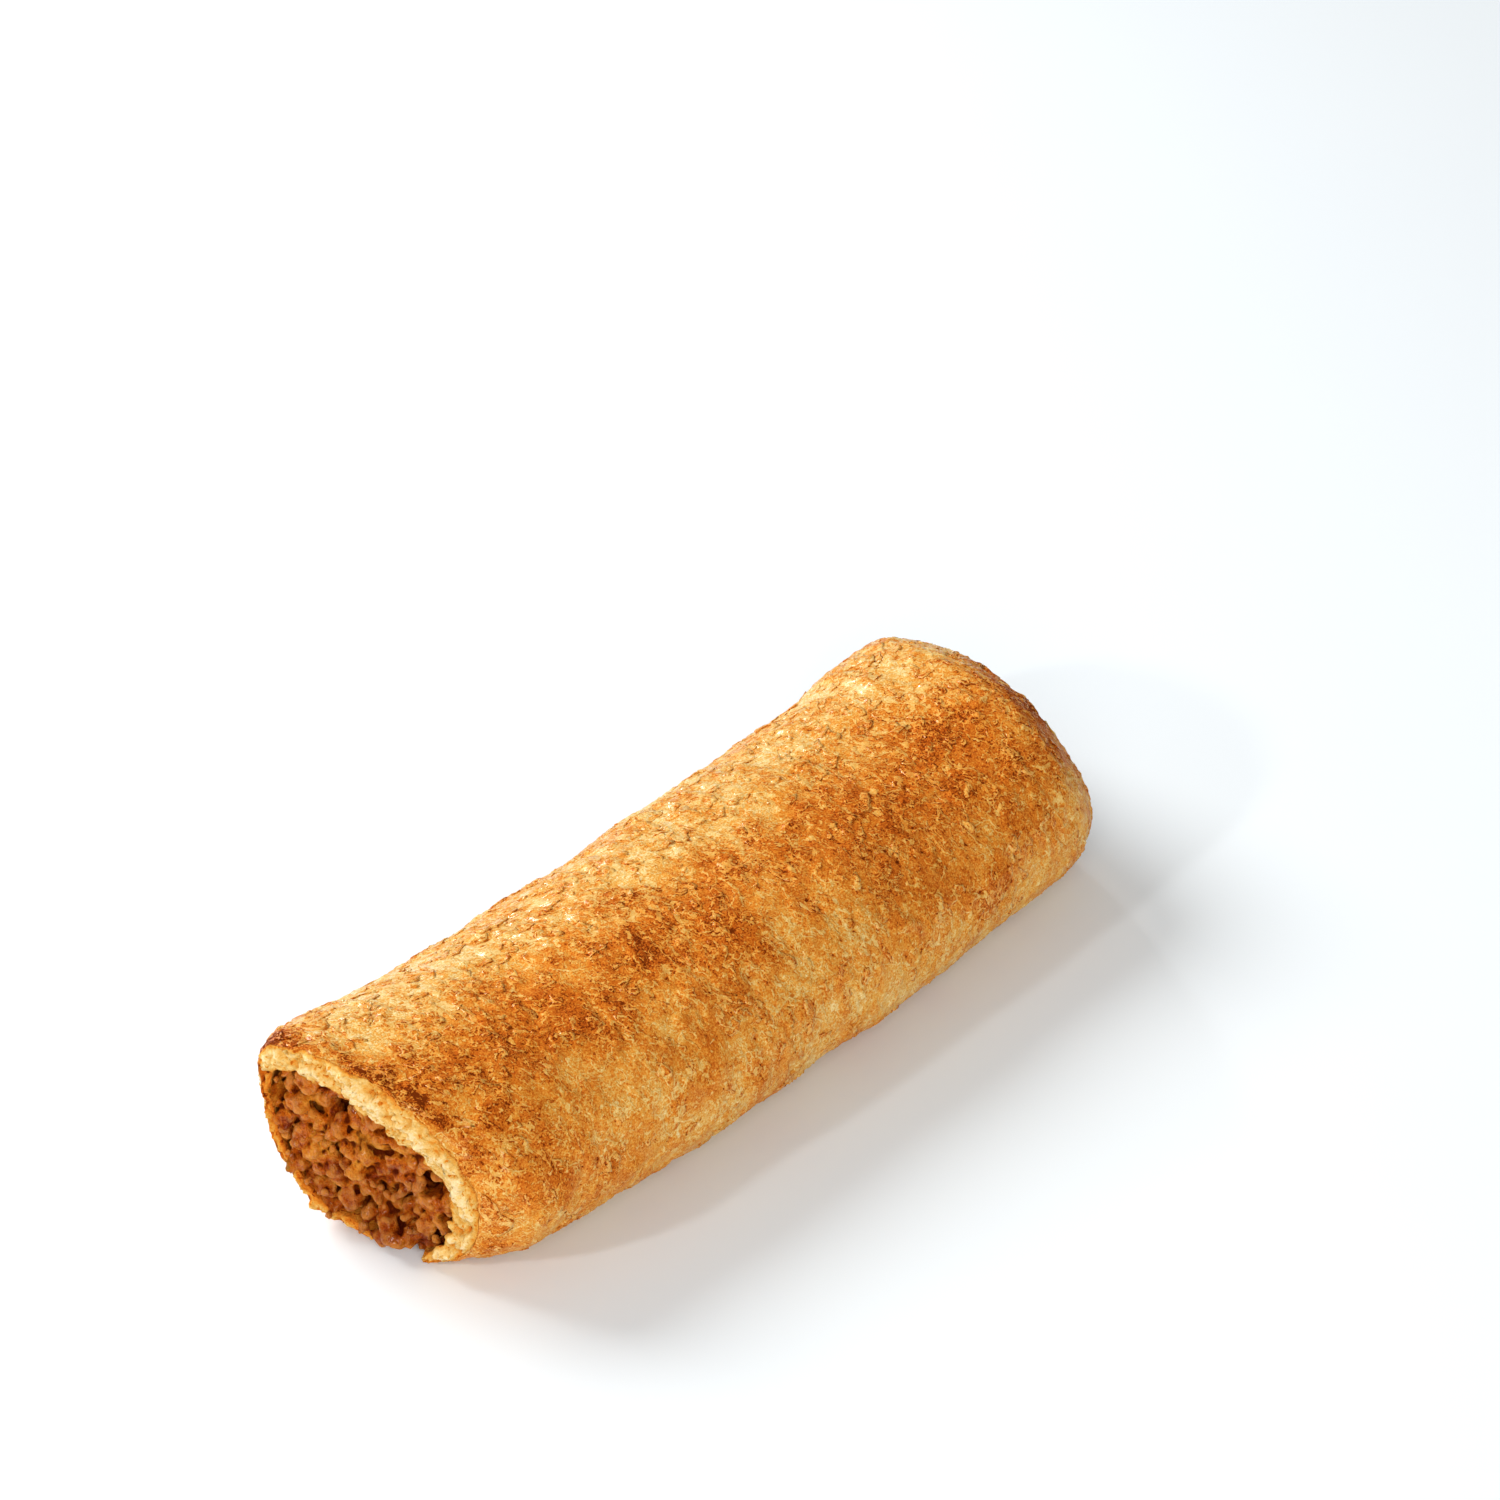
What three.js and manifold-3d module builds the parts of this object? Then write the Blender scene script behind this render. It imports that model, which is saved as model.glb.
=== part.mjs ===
// A hand-size sausage roll: flaky pastry baked round a core of seasoned mince, open at both ends.
// Millimetres. X runs along the roll, Y across it and Z up. The roll lies on its flattened seam side.

import * as THREE from 'three';
import { mergeVertices } from 'three/addons/utils/BufferGeometryUtils.js';
import Module from 'manifold-3d';

const wasm = await Module();
wasm.setup();

// Driving dimensions of the roll
const ROLL_LENGTH = 142; // rim to rim along the middle
const SECTIONS = [ // share of the length, half width and half height of the roll there
  [0, 16.5, 18.5],
  [0.06, 22.4, 17.9],
  [0.2, 24.8, 17.2],
  [0.5, 25.6, 16.9],
  [0.8, 26.6, 16.2],
  [0.94, 26.3, 17.3],
  [1, 22.3, 15.2],
];
const SECTION_POWER = 2.15; // 2 gives ellipses, more gives squarer sections
const FLAT_DEPTH = 2.0; // how much of the underside the baking tray pressed flat
const BEND_OFFSET = -0.4; // sideways place of the middle
const BEND_RISE = 2.3; // how far both ends bend away from the middle

// The two ends lean: X grows by this much for each mm sideways and for each mm up
const NEAR_LEAN = { across: -0.16, up: -0.14 };
const FAR_LEAN = { across: 0.2, up: -0.18 };
const LEAN_REACH = 0.3; // share of the length over which a lean fades

// Swellings of the near end: share of the radius, angle, spread along the roll and round it
const NEAR_SWELLINGS = [
  { height: 0.15, angle: 55, along: 0.12, round: 26 },
  { height: 0.04, angle: 47, along: 0.04, round: 14 },
  { height: 0.2, angle: 180, along: 0.08, round: 34 },
  { height: -0.05, angle: 335, along: 0.1, round: 45 },
];

// Pastry wall, by angle round the section: 0 is +Y, 90 the top, 180 is -Y and 270 the underside
const WALLS = [
  [0, 1.9],
  [40, 4.6],
  [75, 5.8],
  [130, 5.8],
  [180, 4.3],
  [225, 3.5],
  [262, 3.0],
  [300, 1.9],
  [360, 1.9],
];

// Seam under the roll, where the two edges of the pastry meet
const SEAM_Y = -2.1; // where it reaches the near end
const SEAM_WANDER = 1.4; // sideways wander along the roll
const SEAM_HALF_WIDTH = 1.3;
const SEAM_DEPTH = 0.8;
const SEAM_ANGLE = 263; // columns of points crowd together round this angle
const NOTCH_DEPTH = 5.2; // how far the pastry has pulled back at the near end of the seam
const NOTCH_HALF_WIDTH = 2.7;
const NOTCH_REACH = 0.12; // share of the length over which the pull-back fades
const LIP_LIFT = 1.3; // the lip beside the notch stands this much off the tray

// Waisted patch of the underside that lies on the tray; round it the pastry stands a little higher
const REST_HALF_LENGTH = 62;
const REST_END_DIP = 6; // the patch is this much shorter along its middle
const REST_HALF_WIDTHS = [8, 12.5]; // at the waist and at the ends
const REST_LIFT = 0.5;
const REST_FADE = 2.5; // the lift is complete this far outside the patch

// Crust relief
const LUMP_HEIGHT = 0.4;
const LUMP_SIZE = 13;
const FLAKE_STEP = 0.8; // height between the highest and the lowest flake
const FLAKE_LENGTH = 10;
const FLAKE_WIDTH = 7;
const CRUMB_BULGE = 0.5; // the cut wall puffs out between its skin and the mince

// Mince
const FILLING_GAP = 0.55; // clearance between the mince and the pastry
const NEAR_RECESS = 3.6; // how deep its bed sits behind the rims at most
const FAR_RECESS = 3.2;
const DEEPEST_ANGLE = 125; // where round the section it sits deepest
const COLLAR = 1.7; // straight stretch of its side behind each end
const BULGE_SHARE = 0.03; // share of the length over which it fills the notch
const MINCE_GIRTH = 110; // round the mince at the rims
const CRUMB_RINGS = 4; // rings of lumps over each end
const CRUMB_SPACING = 6.4; // between neighbours on a ring
const CRUMB_RADIUS = [2.4, 3.9];
const CRUMB_STRETCH = [0.75, 1.2];
const CRUMB_LIFT = [-0.9, 0.1]; // of a lump's middle over the bed
const CRUMB_ROUGHNESS = 0.3;
const ROOM_PAST_RIM = 5; // lumps are trimmed to the bore's outline this far past the rims
const BULGE_LUMPS = [ // lumps pushed out through the notch: place behind the rim, Y, Z and radius
  [-0.4, -2.4, 2.6, 2.2],
  [0.4, -0.8, 5.2, 2.6],
  [-0.1, -4.7, 6.1, 2.5],
];

// Fineness of the meshes
const COLUMNS = 64;
const OUTER_STEPS = 44;
const BORE_SHARES = [0, 0.01, 0.02, 0.04, 0.08, 0.15, 0.3, 0.5, 0.7, 0.88, 0.95, 0.98, 0.99, 1];
const FACE_RINGS = 2;
const SEED = 41;

const radians = THREE.MathUtils.degToRad;
const degrees = THREE.MathUtils.radToDeg;
const clamp = THREE.MathUtils.clamp;
const lerp = THREE.MathUtils.lerp;
const bell = (distance, spread) => Math.exp(-((distance / spread) ** 2));

// Smooth curve through rows of [place, value, ...], read at a place for one of its values
function curveThrough(rows, column, place) {
  const last = rows.length - 1;
  const slopeBetween = (a, b) => (rows[b][column] - rows[a][column]) / (rows[b][0] - rows[a][0]);
  const slopeAt = (i) => slopeBetween(Math.max(i - 1, 0), Math.min(i + 1, last));
  let i = 0;
  while (i < last - 1 && place > rows[i + 1][0]) i++;
  const span = rows[i + 1][0] - rows[i][0];
  const t = (place - rows[i][0]) / span;
  const startSlope = slopeAt(i) * span;
  const endSlope = slopeAt(i + 1) * span;
  const rise = rows[i + 1][column] - rows[i][column];
  const curve = (2 * t - 3) * t * t;
  return rows[i][column] - curve * rise + t * (1 - t) ** 2 * startSlope + t * t * (t - 1) * endSlope;
}

// Repeatable random number from 0 to 1 for three whole numbers
function latticeRandom(x, y, z, seed) {
  let h = Math.imul(x, 374761393) ^ Math.imul(y, 668265263) ^ Math.imul(z, 2147483629);
  h = Math.imul(h ^ Math.imul(seed, 1274126177), 1597334677);
  h = Math.imul(h ^ (h >>> 15), 2246822519);
  return ((h ^ (h >>> 13)) >>> 0) / 4294967296;
}

// Smooth noise from -1 to 1
function noise(x, y, z, seed) {
  const cell = [Math.floor(x), Math.floor(y), Math.floor(z)];
  const ease = [x - cell[0], y - cell[1], z - cell[2]].map((t) => t * t * (3 - 2 * t));
  let sum = 0;
  for (let corner = 0; corner < 8; corner++) {
    const step = [corner & 1, (corner >> 1) & 1, corner >> 2];
    const weight = step.reduce((product, s, axis) => product * (s ? ease[axis] : 1 - ease[axis]), 1);
    sum += weight * latticeRandom(cell[0] + step[0], cell[1] + step[1], cell[2] + step[2], seed);
  }
  return 2 * sum - 1;
}

// Random height from -1 to 1 that is the same all over one irregular cell
function cellHeight(x, y, z, seed) {
  let nearest = Infinity;
  let height = 0;
  for (let i = 0; i < 27; i++) {
    const cx = Math.floor(x) + (i % 3) - 1;
    const cy = Math.floor(y) + (Math.floor(i / 3) % 3) - 1;
    const cz = Math.floor(z) + Math.floor(i / 9) - 1;
    const dx = cx + latticeRandom(cx, cy, cz, seed) - x;
    const dy = cy + latticeRandom(cx, cy, cz, seed + 1) - y;
    const dz = cz + latticeRandom(cx, cy, cz, seed + 2) - z;
    const distance = dx * dx + dy * dy + dz * dz;
    if (distance < nearest) {
      nearest = distance;
      height = 2 * latticeRandom(cx, cy, cz, seed + 3) - 1;
    }
  }
  return height;
}

// Angles of the columns, crowded round the seam
function columnAngles() {
  const crowding = 0.65;
  const crowdSpan = 0.15;
  const angles = [];
  for (let j = 0; j < COLUMNS; j++) {
    const v = (2 * j) / COLUMNS - 1;
    const offset = (v - crowding * crowdSpan * Math.tanh(v / crowdSpan)) / (1 - crowding * crowdSpan);
    angles.push(radians(SEAM_ANGLE + 180 * offset));
  }
  return angles;
}

const angleBetween = (a, b) => Math.abs(Math.atan2(Math.sin(a - b), Math.cos(a - b)));
const middleY = (share) => BEND_OFFSET + BEND_RISE * (2 * share - 1) ** 2;
const seamY = (share) => SEAM_Y + SEAM_WANDER * Math.sin(4.2 * share);
const halfHeight = (share) => curveThrough(SECTIONS, 2, share);

// How far X moves at a point because the ends lean
function lean(share, y, z) {
  const across = y - middleY(share);
  const up = z - halfHeight(share);
  const near = clamp(1 - share / LEAN_REACH, 0, 1);
  const far = clamp(1 - (1 - share) / LEAN_REACH, 0, 1);
  const nearShift = NEAR_LEAN.across * across + NEAR_LEAN.up * up;
  const farShift = FAR_LEAN.across * across + FAR_LEAN.up * up;
  return near * nearShift + far * farShift;
}

// How far the pastry has pulled back from the near end of the seam
function notchPull(share, y, z) {
  const fade = clamp(1 - share / NOTCH_REACH, 0, 1) * clamp(1.6 - z / 5, 0, 1);
  return NOTCH_DEPTH * bell(y - seamY(share), NOTCH_HALF_WIDTH) * fade;
}

// X of a point of the roll at a share of the length
function placeAlong(share, y, z) {
  return ROLL_LENGTH * (share - 0.5) + lean(share, y, z) + notchPull(share, y, z);
}

// Lumps and overlapping flakes, as a height over the smooth form
function crustRelief(x, y, z) {
  const lumps = LUMP_HEIGHT * noise(x / LUMP_SIZE, y / LUMP_SIZE, z / LUMP_SIZE, SEED);
  const warp = 1.2 * noise(x / 7, y / 7, z / 7, SEED + 10);
  const along = x / FLAKE_LENGTH + 0.3 * warp;
  const flakes = cellHeight(along, y / FLAKE_WIDTH + warp, z / FLAKE_WIDTH, SEED + 20);
  return lumps + 0.5 * FLAKE_STEP * flakes;
}

// How far the underside stands off the tray
function trayLift(share, y) {
  const along = (ROLL_LENGTH * Math.abs(share - 0.5)) / REST_HALF_LENGTH;
  const across = Math.abs(y - middleY(share));
  const halfWidth = lerp(...REST_HALF_WIDTHS, Math.min(along, 1) ** 2);
  const endDip = REST_END_DIP * (1 - Math.min(across / halfWidth, 1) ** 2);
  const pastEnd = (along - 1) * REST_HALF_LENGTH + endDip;
  return REST_LIFT * clamp(Math.max(across - halfWidth, pastEnd) / REST_FADE, 0, 1);
}

// Outer skin of the pastry; a plain one has no lumps, flakes or seam
function skinPoint(share, angle, plain = false) {
  const width = curveThrough(SECTIONS, 1, share);
  const height = halfHeight(share);
  const power = 2 / SECTION_POWER;
  const c = Math.cos(angle);
  const s = Math.sin(angle);
  let swell = 1;
  for (const { height: rise, angle: centre, along, round } of NEAR_SWELLINGS) {
    swell += rise * bell(share, along) * bell(angleBetween(angle, radians(centre)), radians(round));
  }
  let y = middleY(share) + width * Math.sign(c) * Math.abs(c) ** power * swell;
  let z = height * (1 + Math.sign(s) * Math.abs(s) ** power * swell);
  const relief = plain ? 0 : crustRelief(ROLL_LENGTH * share, y, z);
  y += relief * c;
  z = Math.max(z + relief * s - FLAT_DEPTH, 0);
  if (s < 0) {
    const seam = plain ? 0 : SEAM_DEPTH * bell(y - seamY(share), SEAM_HALF_WIDTH);
    const lift = LIP_LIFT * bell(share, 0.05) * bell(angleBetween(angle, radians(287)), radians(15));
    z += (seam + lift + trayLift(share, y)) * clamp(1 - z / 4, 0, 1);
  }
  return new THREE.Vector3(placeAlong(share, y, z), y, z);
}

// Middle of a section, before the ends' lean
function sectionMiddle(share) {
  const z = halfHeight(share) - FLAT_DEPTH / 2;
  return new THREE.Vector3(ROLL_LENGTH * (share - 0.5), middleY(share), z);
}

// Point this deep under the plain skin, towards the middle of the section
function depthPoint(share, angle, depth) {
  const skin = skinPoint(share, angle, true);
  const inward = sectionMiddle(share).sub(skin).setX(0).setLength(depth);
  const point = skin.add(inward);
  return point.setX(placeAlong(share, point.y, point.z));
}

const wallAt = (angle) => curveThrough(WALLS, 1, THREE.MathUtils.euclideanModulo(degrees(angle), 360));

// Closed surface from rows of points: each row is a ring, and the rows follow one another
function ringSurface(rows, closeRows) {
  const geometry = new THREE.BufferGeometry();
  const ring = rows[0].length;
  const positions = rows.flat().flatMap((point) => [point.x, point.y, point.z]);
  const triangles = [];
  const rowPairs = closeRows ? rows.length : rows.length - 1;
  for (let i = 0; i < rowPairs; i++) {
    const next = (i + 1) % rows.length;
    for (let j = 0; j < ring; j++) {
      const k = (j + 1) % ring;
      const [a, b, c, d] = [i * ring + j, i * ring + k, next * ring + k, next * ring + j];
      triangles.push(a, b, c, a, c, d);
    }
  }
  geometry.setAttribute('position', new THREE.Float32BufferAttribute(positions, 3));
  geometry.setIndex(triangles);
  return geometry;
}

// Ring surface whose two ends are closed with fans round middle points
function plugSurface(rows, nearPoint, farPoint) {
  const geometry = ringSurface(rows, false);
  const positions = Array.from(geometry.getAttribute('position').array);
  const triangles = Array.from(geometry.getIndex().array);
  const ring = rows[0].length;
  const near = positions.length / 3;
  const lastRow = (rows.length - 1) * ring;
  positions.push(nearPoint.x, nearPoint.y, nearPoint.z, farPoint.x, farPoint.y, farPoint.z);
  for (let j = 0; j < ring; j++) {
    const k = (j + 1) % ring;
    triangles.push(near, k, j);
    triangles.push(near + 1, lastRow + j, lastRow + k);
  }
  geometry.setAttribute('position', new THREE.Float32BufferAttribute(positions, 3));
  geometry.setIndex(triangles);
  return geometry;
}

// Pastry: along the outer skin, in over the far cut, back along the bore and out over the near cut
function pastryGeometry(angles) {
  const rows = [];
  for (let i = 0; i <= OUTER_STEPS; i++) {
    const t = i / OUTER_STEPS;
    const share = t - (0.5 / (2 * Math.PI)) * Math.sin(2 * Math.PI * t);
    rows.push(angles.map((angle) => skinPoint(share, angle)));
  }
  const cutRow = (share, depthShare, direction) =>
    angles.map((angle) => {
      const point = depthPoint(share, angle, wallAt(angle) * depthShare);
      point.x += direction * CRUMB_BULGE * Math.sin(Math.PI * depthShare);
      return point;
    });
  const boreRow = (share) => angles.map((angle) => depthPoint(share, angle, wallAt(angle)));
  for (let i = 1; i <= FACE_RINGS; i++) rows.push(cutRow(1, i / (FACE_RINGS + 1), 1));
  for (const share of [...BORE_SHARES].reverse()) rows.push(boreRow(share));
  for (let i = FACE_RINGS; i >= 1; i--) rows.push(cutRow(0, i / (FACE_RINGS + 1), -1));
  return ringSurface(rows, true);
}

// Solid for joining and cutting
function toSolid(geometry) {
  const bare = geometry.clone();
  bare.deleteAttribute('normal');
  bare.deleteAttribute('uv');
  const merged = mergeVertices(bare);
  const vertProperties = new Float32Array(merged.getAttribute('position').array);
  const triVerts = new Uint32Array(merged.getIndex().array);
  return new wasm.Manifold(new wasm.Mesh({ numProp: 3, vertProperties, triVerts }));
}

// A solid without the pockets and scraps that joining leaves
function largestShell(solid) {
  const byVolume = (a, b) => b.volume() - a.volume();
  return solid.decompose().sort(byVolume)[0];
}

function toGeometry(solid) {
  const mesh = solid.getMesh();
  const geometry = new THREE.BufferGeometry();
  geometry.setAttribute('position', new THREE.Float32BufferAttribute(mesh.vertProperties, 3));
  geometry.setIndex(Array.from(mesh.triVerts));
  return geometry;
}

// One crumbly lump of mince, from a serial number that sets its size and turn
function minceLump(centre, radius, serial) {
  const random = (k) => latticeRandom(serial, k, 0, SEED + 34);
  const lump = new THREE.OctahedronGeometry(1, 1);
  lump.deleteAttribute('normal');
  lump.deleteAttribute('uv');
  const round = mergeVertices(lump);
  const points = round.getAttribute('position');
  const point = new THREE.Vector3();
  for (let i = 0; i < points.count; i++) {
    point.fromBufferAttribute(points, i);
    const rough = noise(1.4 * point.x + serial, 1.4 * point.y, 1.4 * point.z, SEED + 31);
    point.multiplyScalar(radius * (1 + CRUMB_ROUGHNESS * rough));
    points.setXYZ(i, point.x, point.y, point.z);
  }
  round.scale(1, lerp(...CRUMB_STRETCH, random(0)), lerp(...CRUMB_STRETCH, random(1)));
  round.rotateX(2 * Math.PI * random(2));
  round.rotateY(0.6 * random(3));
  round.translate(centre.x, centre.y, centre.z);
  return toSolid(round);
}

// Side of the mince at a share of the length; it isn't pulled back where it fills the notch
function minceSide(share, angle) {
  const point = depthPoint(share, angle, wallAt(angle) + FILLING_GAP);
  if (share < BULGE_SHARE) point.x -= notchPull(share, point.y, point.z);
  return point;
}

// One end of the mince: its bed, and the lumps that lie on it
function minceEnd(angles, end, recess) {
  const outward = 2 * end - 1;
  const edgePoint = (angle, further) => {
    const depth = recess * (0.5 + 0.5 * Math.cos(angle - radians(DEEPEST_ANGLE))) + further;
    return minceSide(Math.abs(end - depth / ROLL_LENGTH), angle);
  };
  const middle = sectionMiddle(end);
  middle.x -= 0.5 * outward * recess;
  const lumps = [];
  for (let ring = 0; ring < CRUMB_RINGS; ring++) {
    const ringShare = (ring + 0.5) / CRUMB_RINGS;
    const count = Math.round((ringShare * MINCE_GIRTH) / CRUMB_SPACING);
    for (let i = 0; i < count; i++) {
      const serial = 100 * (1 + ring + 10 * end) + i;
      const random = (k) => latticeRandom(serial, k, 1, SEED + 32);
      const angle = (2 * Math.PI * (i + 0.5 * random(0))) / count;
      const radius = lerp(...CRUMB_RADIUS, random(1) * (1 - 0.4 * ringShare));
      const centre = new THREE.Vector3().lerpVectors(middle, edgePoint(angle, 0), ringShare);
      centre.x += outward * lerp(...CRUMB_LIFT, random(2));
      lumps.push(minceLump(centre, radius, serial));
    }
  }
  const rim = angles.map((angle) => edgePoint(angle, 0));
  const collar = angles.map((angle) => edgePoint(angle, COLLAR));
  return { rim, collar, middle, lumps };
}

// Mince: a core along the bore with lumps on both ends, trimmed to the bore, and a bulge in the notch
function fillingGeometry(angles) {
  const near = minceEnd(angles, 0, NEAR_RECESS);
  const far = minceEnd(angles, 1, FAR_RECESS);
  const shares = BORE_SHARES.filter((share) => share > BULGE_SHARE && share < 1 - BULGE_SHARE);
  const side = shares.map((share) => angles.map((angle) => minceSide(share, angle)));
  const core = plugSurface([near.rim, near.collar, ...side, far.collar, far.rim], near.middle, far.middle);

  // Room in the bore, carried on straight past both rims
  const openRow = (share, past) =>
    angles.map((angle) => minceSide(share, angle).add(new THREE.Vector3(past, 0, 0)));
  const nearOpening = [openRow(0, -ROOM_PAST_RIM), openRow(0, 0), near.collar];
  const farOpening = [far.collar, openRow(1, 0), openRow(1, ROOM_PAST_RIM)];
  const roomEnd = (end) => near.middle.clone().setX((end - 0.5) * (ROLL_LENGTH + 3 * ROOM_PAST_RIM));
  const room = plugSurface([...nearOpening, ...side, ...farOpening], roomEnd(0), roomEnd(1));

  const crumbs = [...near.lumps, ...far.lumps].reduce((sum, lump) => sum.add(lump), toSolid(core));
  const trimmed = crumbs.intersect(toSolid(room));
  const bulge = BULGE_LUMPS.map(([behind, y, z, radius], i) => {
    const x = -ROLL_LENGTH / 2 + lean(0, y, z) + behind;
    return minceLump(new THREE.Vector3(x, y, z), radius, 900 + i);
  });
  return toGeometry(largestShell(bulge.reduce((sum, lump) => sum.add(lump), trimmed)));
}

function buildRoll() {
  const angles = columnAngles();
  const crust = new THREE.MeshStandardMaterial({ color: 0xc98536, roughness: 0.5, metalness: 0 });
  const meat = new THREE.MeshStandardMaterial({ color: 0x8e4a1c, roughness: 0.45, metalness: 0 });
  const pastry = new THREE.Mesh(pastryGeometry(angles), crust);
  const everyOther = angles.filter((_, i) => i % 2 === 0);
  const filling = new THREE.Mesh(fillingGeometry(everyOther), meat);
  pastry.name = 'pastry';
  filling.name = 'filling';
  const roll = new THREE.Group();
  roll.add(pastry, filling);

  // The origin is the middle of the roll's footprint, on the surface it lies on
  const box = new THREE.Box3().setFromObject(roll);
  const centre = box.getCenter(new THREE.Vector3());
  roll.position.set(-centre.x, -centre.y, -box.min.z);
  return roll;
}

export default buildRoll();
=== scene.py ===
"""A sausage roll: flaky egg-washed pastry round a core of crumbly mince, both ends open.

Shapes are worked out in millimetres and turned to metres as each mesh is made. A place on the pastry is
a share of the length, 0 at the near end and 1 at the far one, and an angle round the section: 0 is +Y,
90 degrees the top, 180 is -Y and 270 the underside.
"""

import math

import bmesh
import bpy
import numpy as np
from mathutils import Matrix, Vector
from mathutils.bvhtree import BVHTree


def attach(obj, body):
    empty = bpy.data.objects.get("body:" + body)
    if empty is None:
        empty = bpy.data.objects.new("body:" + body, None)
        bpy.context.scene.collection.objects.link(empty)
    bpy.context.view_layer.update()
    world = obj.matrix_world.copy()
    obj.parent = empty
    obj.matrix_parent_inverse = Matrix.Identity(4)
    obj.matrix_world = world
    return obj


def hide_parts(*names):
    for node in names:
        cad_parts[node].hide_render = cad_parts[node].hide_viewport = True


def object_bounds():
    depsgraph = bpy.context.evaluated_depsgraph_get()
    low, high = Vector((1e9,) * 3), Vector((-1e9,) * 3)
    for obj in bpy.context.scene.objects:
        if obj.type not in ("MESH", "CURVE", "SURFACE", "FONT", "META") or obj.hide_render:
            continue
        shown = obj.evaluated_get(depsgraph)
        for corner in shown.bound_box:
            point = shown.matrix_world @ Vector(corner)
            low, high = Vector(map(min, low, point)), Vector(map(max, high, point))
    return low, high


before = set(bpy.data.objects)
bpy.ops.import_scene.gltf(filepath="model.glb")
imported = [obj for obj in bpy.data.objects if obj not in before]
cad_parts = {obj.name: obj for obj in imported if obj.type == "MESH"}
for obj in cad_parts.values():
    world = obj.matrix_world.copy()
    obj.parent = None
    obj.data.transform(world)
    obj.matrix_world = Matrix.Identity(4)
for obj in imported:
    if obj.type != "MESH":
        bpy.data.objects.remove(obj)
CAD_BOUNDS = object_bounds()

MM = 0.001
SEED = 7

# The roll's plain form, as the solids have it
MIDDLE = np.array([-1.137, -0.760, 0.0])  # where the plain form's own origin lies in the frame
ROLL_LENGTH = 142.0
SECTIONS = [  # share of the length, half width, half height
    (0.0, 16.5, 18.5),
    (0.06, 22.4, 17.9),
    (0.2, 24.8, 17.2),
    (0.5, 25.6, 16.9),
    (0.8, 26.6, 16.2),
    (0.94, 26.3, 17.3),
    (1.0, 22.3, 15.2),
]
SECTION_POWER = 2.15
FLAT_DEPTH = 2.0
BEND_OFFSET = -0.4
BEND_RISE = 2.3
NEAR_LEAN = (-0.16, -0.14)  # growth of X per mm across and per mm up
FAR_LEAN = (0.2, -0.18)
LEAN_REACH = 0.3
NEAR_SWELLINGS = [  # share that the section swells by, angle, spread along, spread round
    (0.15, 55, 0.12, 26),
    (0.04, 47, 0.04, 14),
    (0.2, 180, 0.08, 34),
    (-0.05, 335, 0.1, 45),
]
WALLS = [  # angle, thickness of the pastry
    (0, 1.9),
    (40, 4.6),
    (75, 5.8),
    (130, 5.8),
    (180, 4.3),
    (225, 3.5),
    (262, 3.0),
    (300, 1.9),
    (360, 1.9),
]
SEAM_Y = -2.1
SEAM_WANDER = 1.4
SEAM_TURN = 4.2  # radians of its wander from end to end
NOTCH_DEPTH = 5.2
NOTCH_HALF_WIDTH = 2.7
NOTCH_REACH = 0.12
SEAM_LIP = (1.3, 4.0, 287, 15, 0.05)  # lift, height where it ends, angle, spread round, spread along

# Rays that read how far the solid's skin stands over the plain form
RELIEF_SHARES = (0.015, 0.985)
RELIEF_ROWS = 88
RELIEF_COLUMNS = 96
RAY_START = 12.0  # outside the plain form
RAY_LENGTH = 30.0

# Fineness of the crust's mesh
SKIN_COLUMNS = 274
SKIN_ROWS = 282
UNDERSIDE_SPARSENESS = 0.5
RIM_STEPS = [0, 0.16, 0.34, 0.56, 0.82, 1.15]  # mm behind the rims
CUT_PARTS = [0.03, 0.07] + [0.12 + 0.045 * k for k in range(18)] + [0.93, 0.97, 1]  # of the wall
MOUTH_STEPS = [0.3, 0.8, 1.5, 2.5, 4, 6.5]  # mm behind the rims, in the bore
BORE_ROWS = 8
RIM_ROUNDING = 0.32
BORE_BAKE = 0.3

# Noises, here and below: strength, size of the grains, octaves, seed, how strong each finer octave is

# Crust: heights in mm
FAR_OFF = 2.0  # distance from an edge that counts as nowhere near it
SHEET_DRIFTS = [(9.0, 1.6, 10), (2.2, 0.7, 13)]  # size, amount, seed
SHEET_STRETCH = np.array([0.85, 1.15, 1.15])
SHEETS = [  # size of the islands, level where they end, height, lip at the edge, trench beside it
    (11.0, 0.02, 0.2, 0.1, 0.08),
    (4.4, 0.06, 0.14, 0.1, 0.08),
    (2.1, 0.1, 0.07, 0.05, 0.04),
]
SHEET_EDGE = 0.3  # how far its slope reaches to each side
SHEET_GAIN = 0.6
SHEET_LIFTS = [(1.0, 3.1, 2, 40, 0.5)]  # where its edge stands up
SHEET_LIFT_LEVELS = (-0.25, 0.3)
LIP_PLACE = 0.35  # the lip lies this far inside the edge and the trench this far outside
LIP_SPREAD = 0.5
TRENCH_SPREAD = 0.4
CRACKS = (16.0, 2, 53)  # size, octaves, seed
CRACK_DRIFT = (3.0, 1.0, 50)  # size, amount, seed
CRACK_PATCHES = [(1.0, 5.5, 2, 57, 0.5)]
CRACK_PATCH_LEVEL = 0.28
CRACK_CLOSING = (1.6, 0.22, 0.34)  # how far it closes, and between which levels of the patches
CRACK_DEPTH = 0.3
CRACK_SPREAD = 0.4
CRACK_RIDGE = (0.14, 0.8, 0.5)  # height, place, spread
WRINKLES = [(1.0, 3.2, 3, 60, 0.6)]
WRINKLE_BREAKS = [(1.0, 2.4, 2, 16, 0.5)]
WRINKLE_FADING = (1.5, 0.15, -0.1)  # how far off it goes where it breaks, and between which levels
WRINKLE_HEIGHT = 0.07
WRINKLE_SPREAD = 0.35
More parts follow.
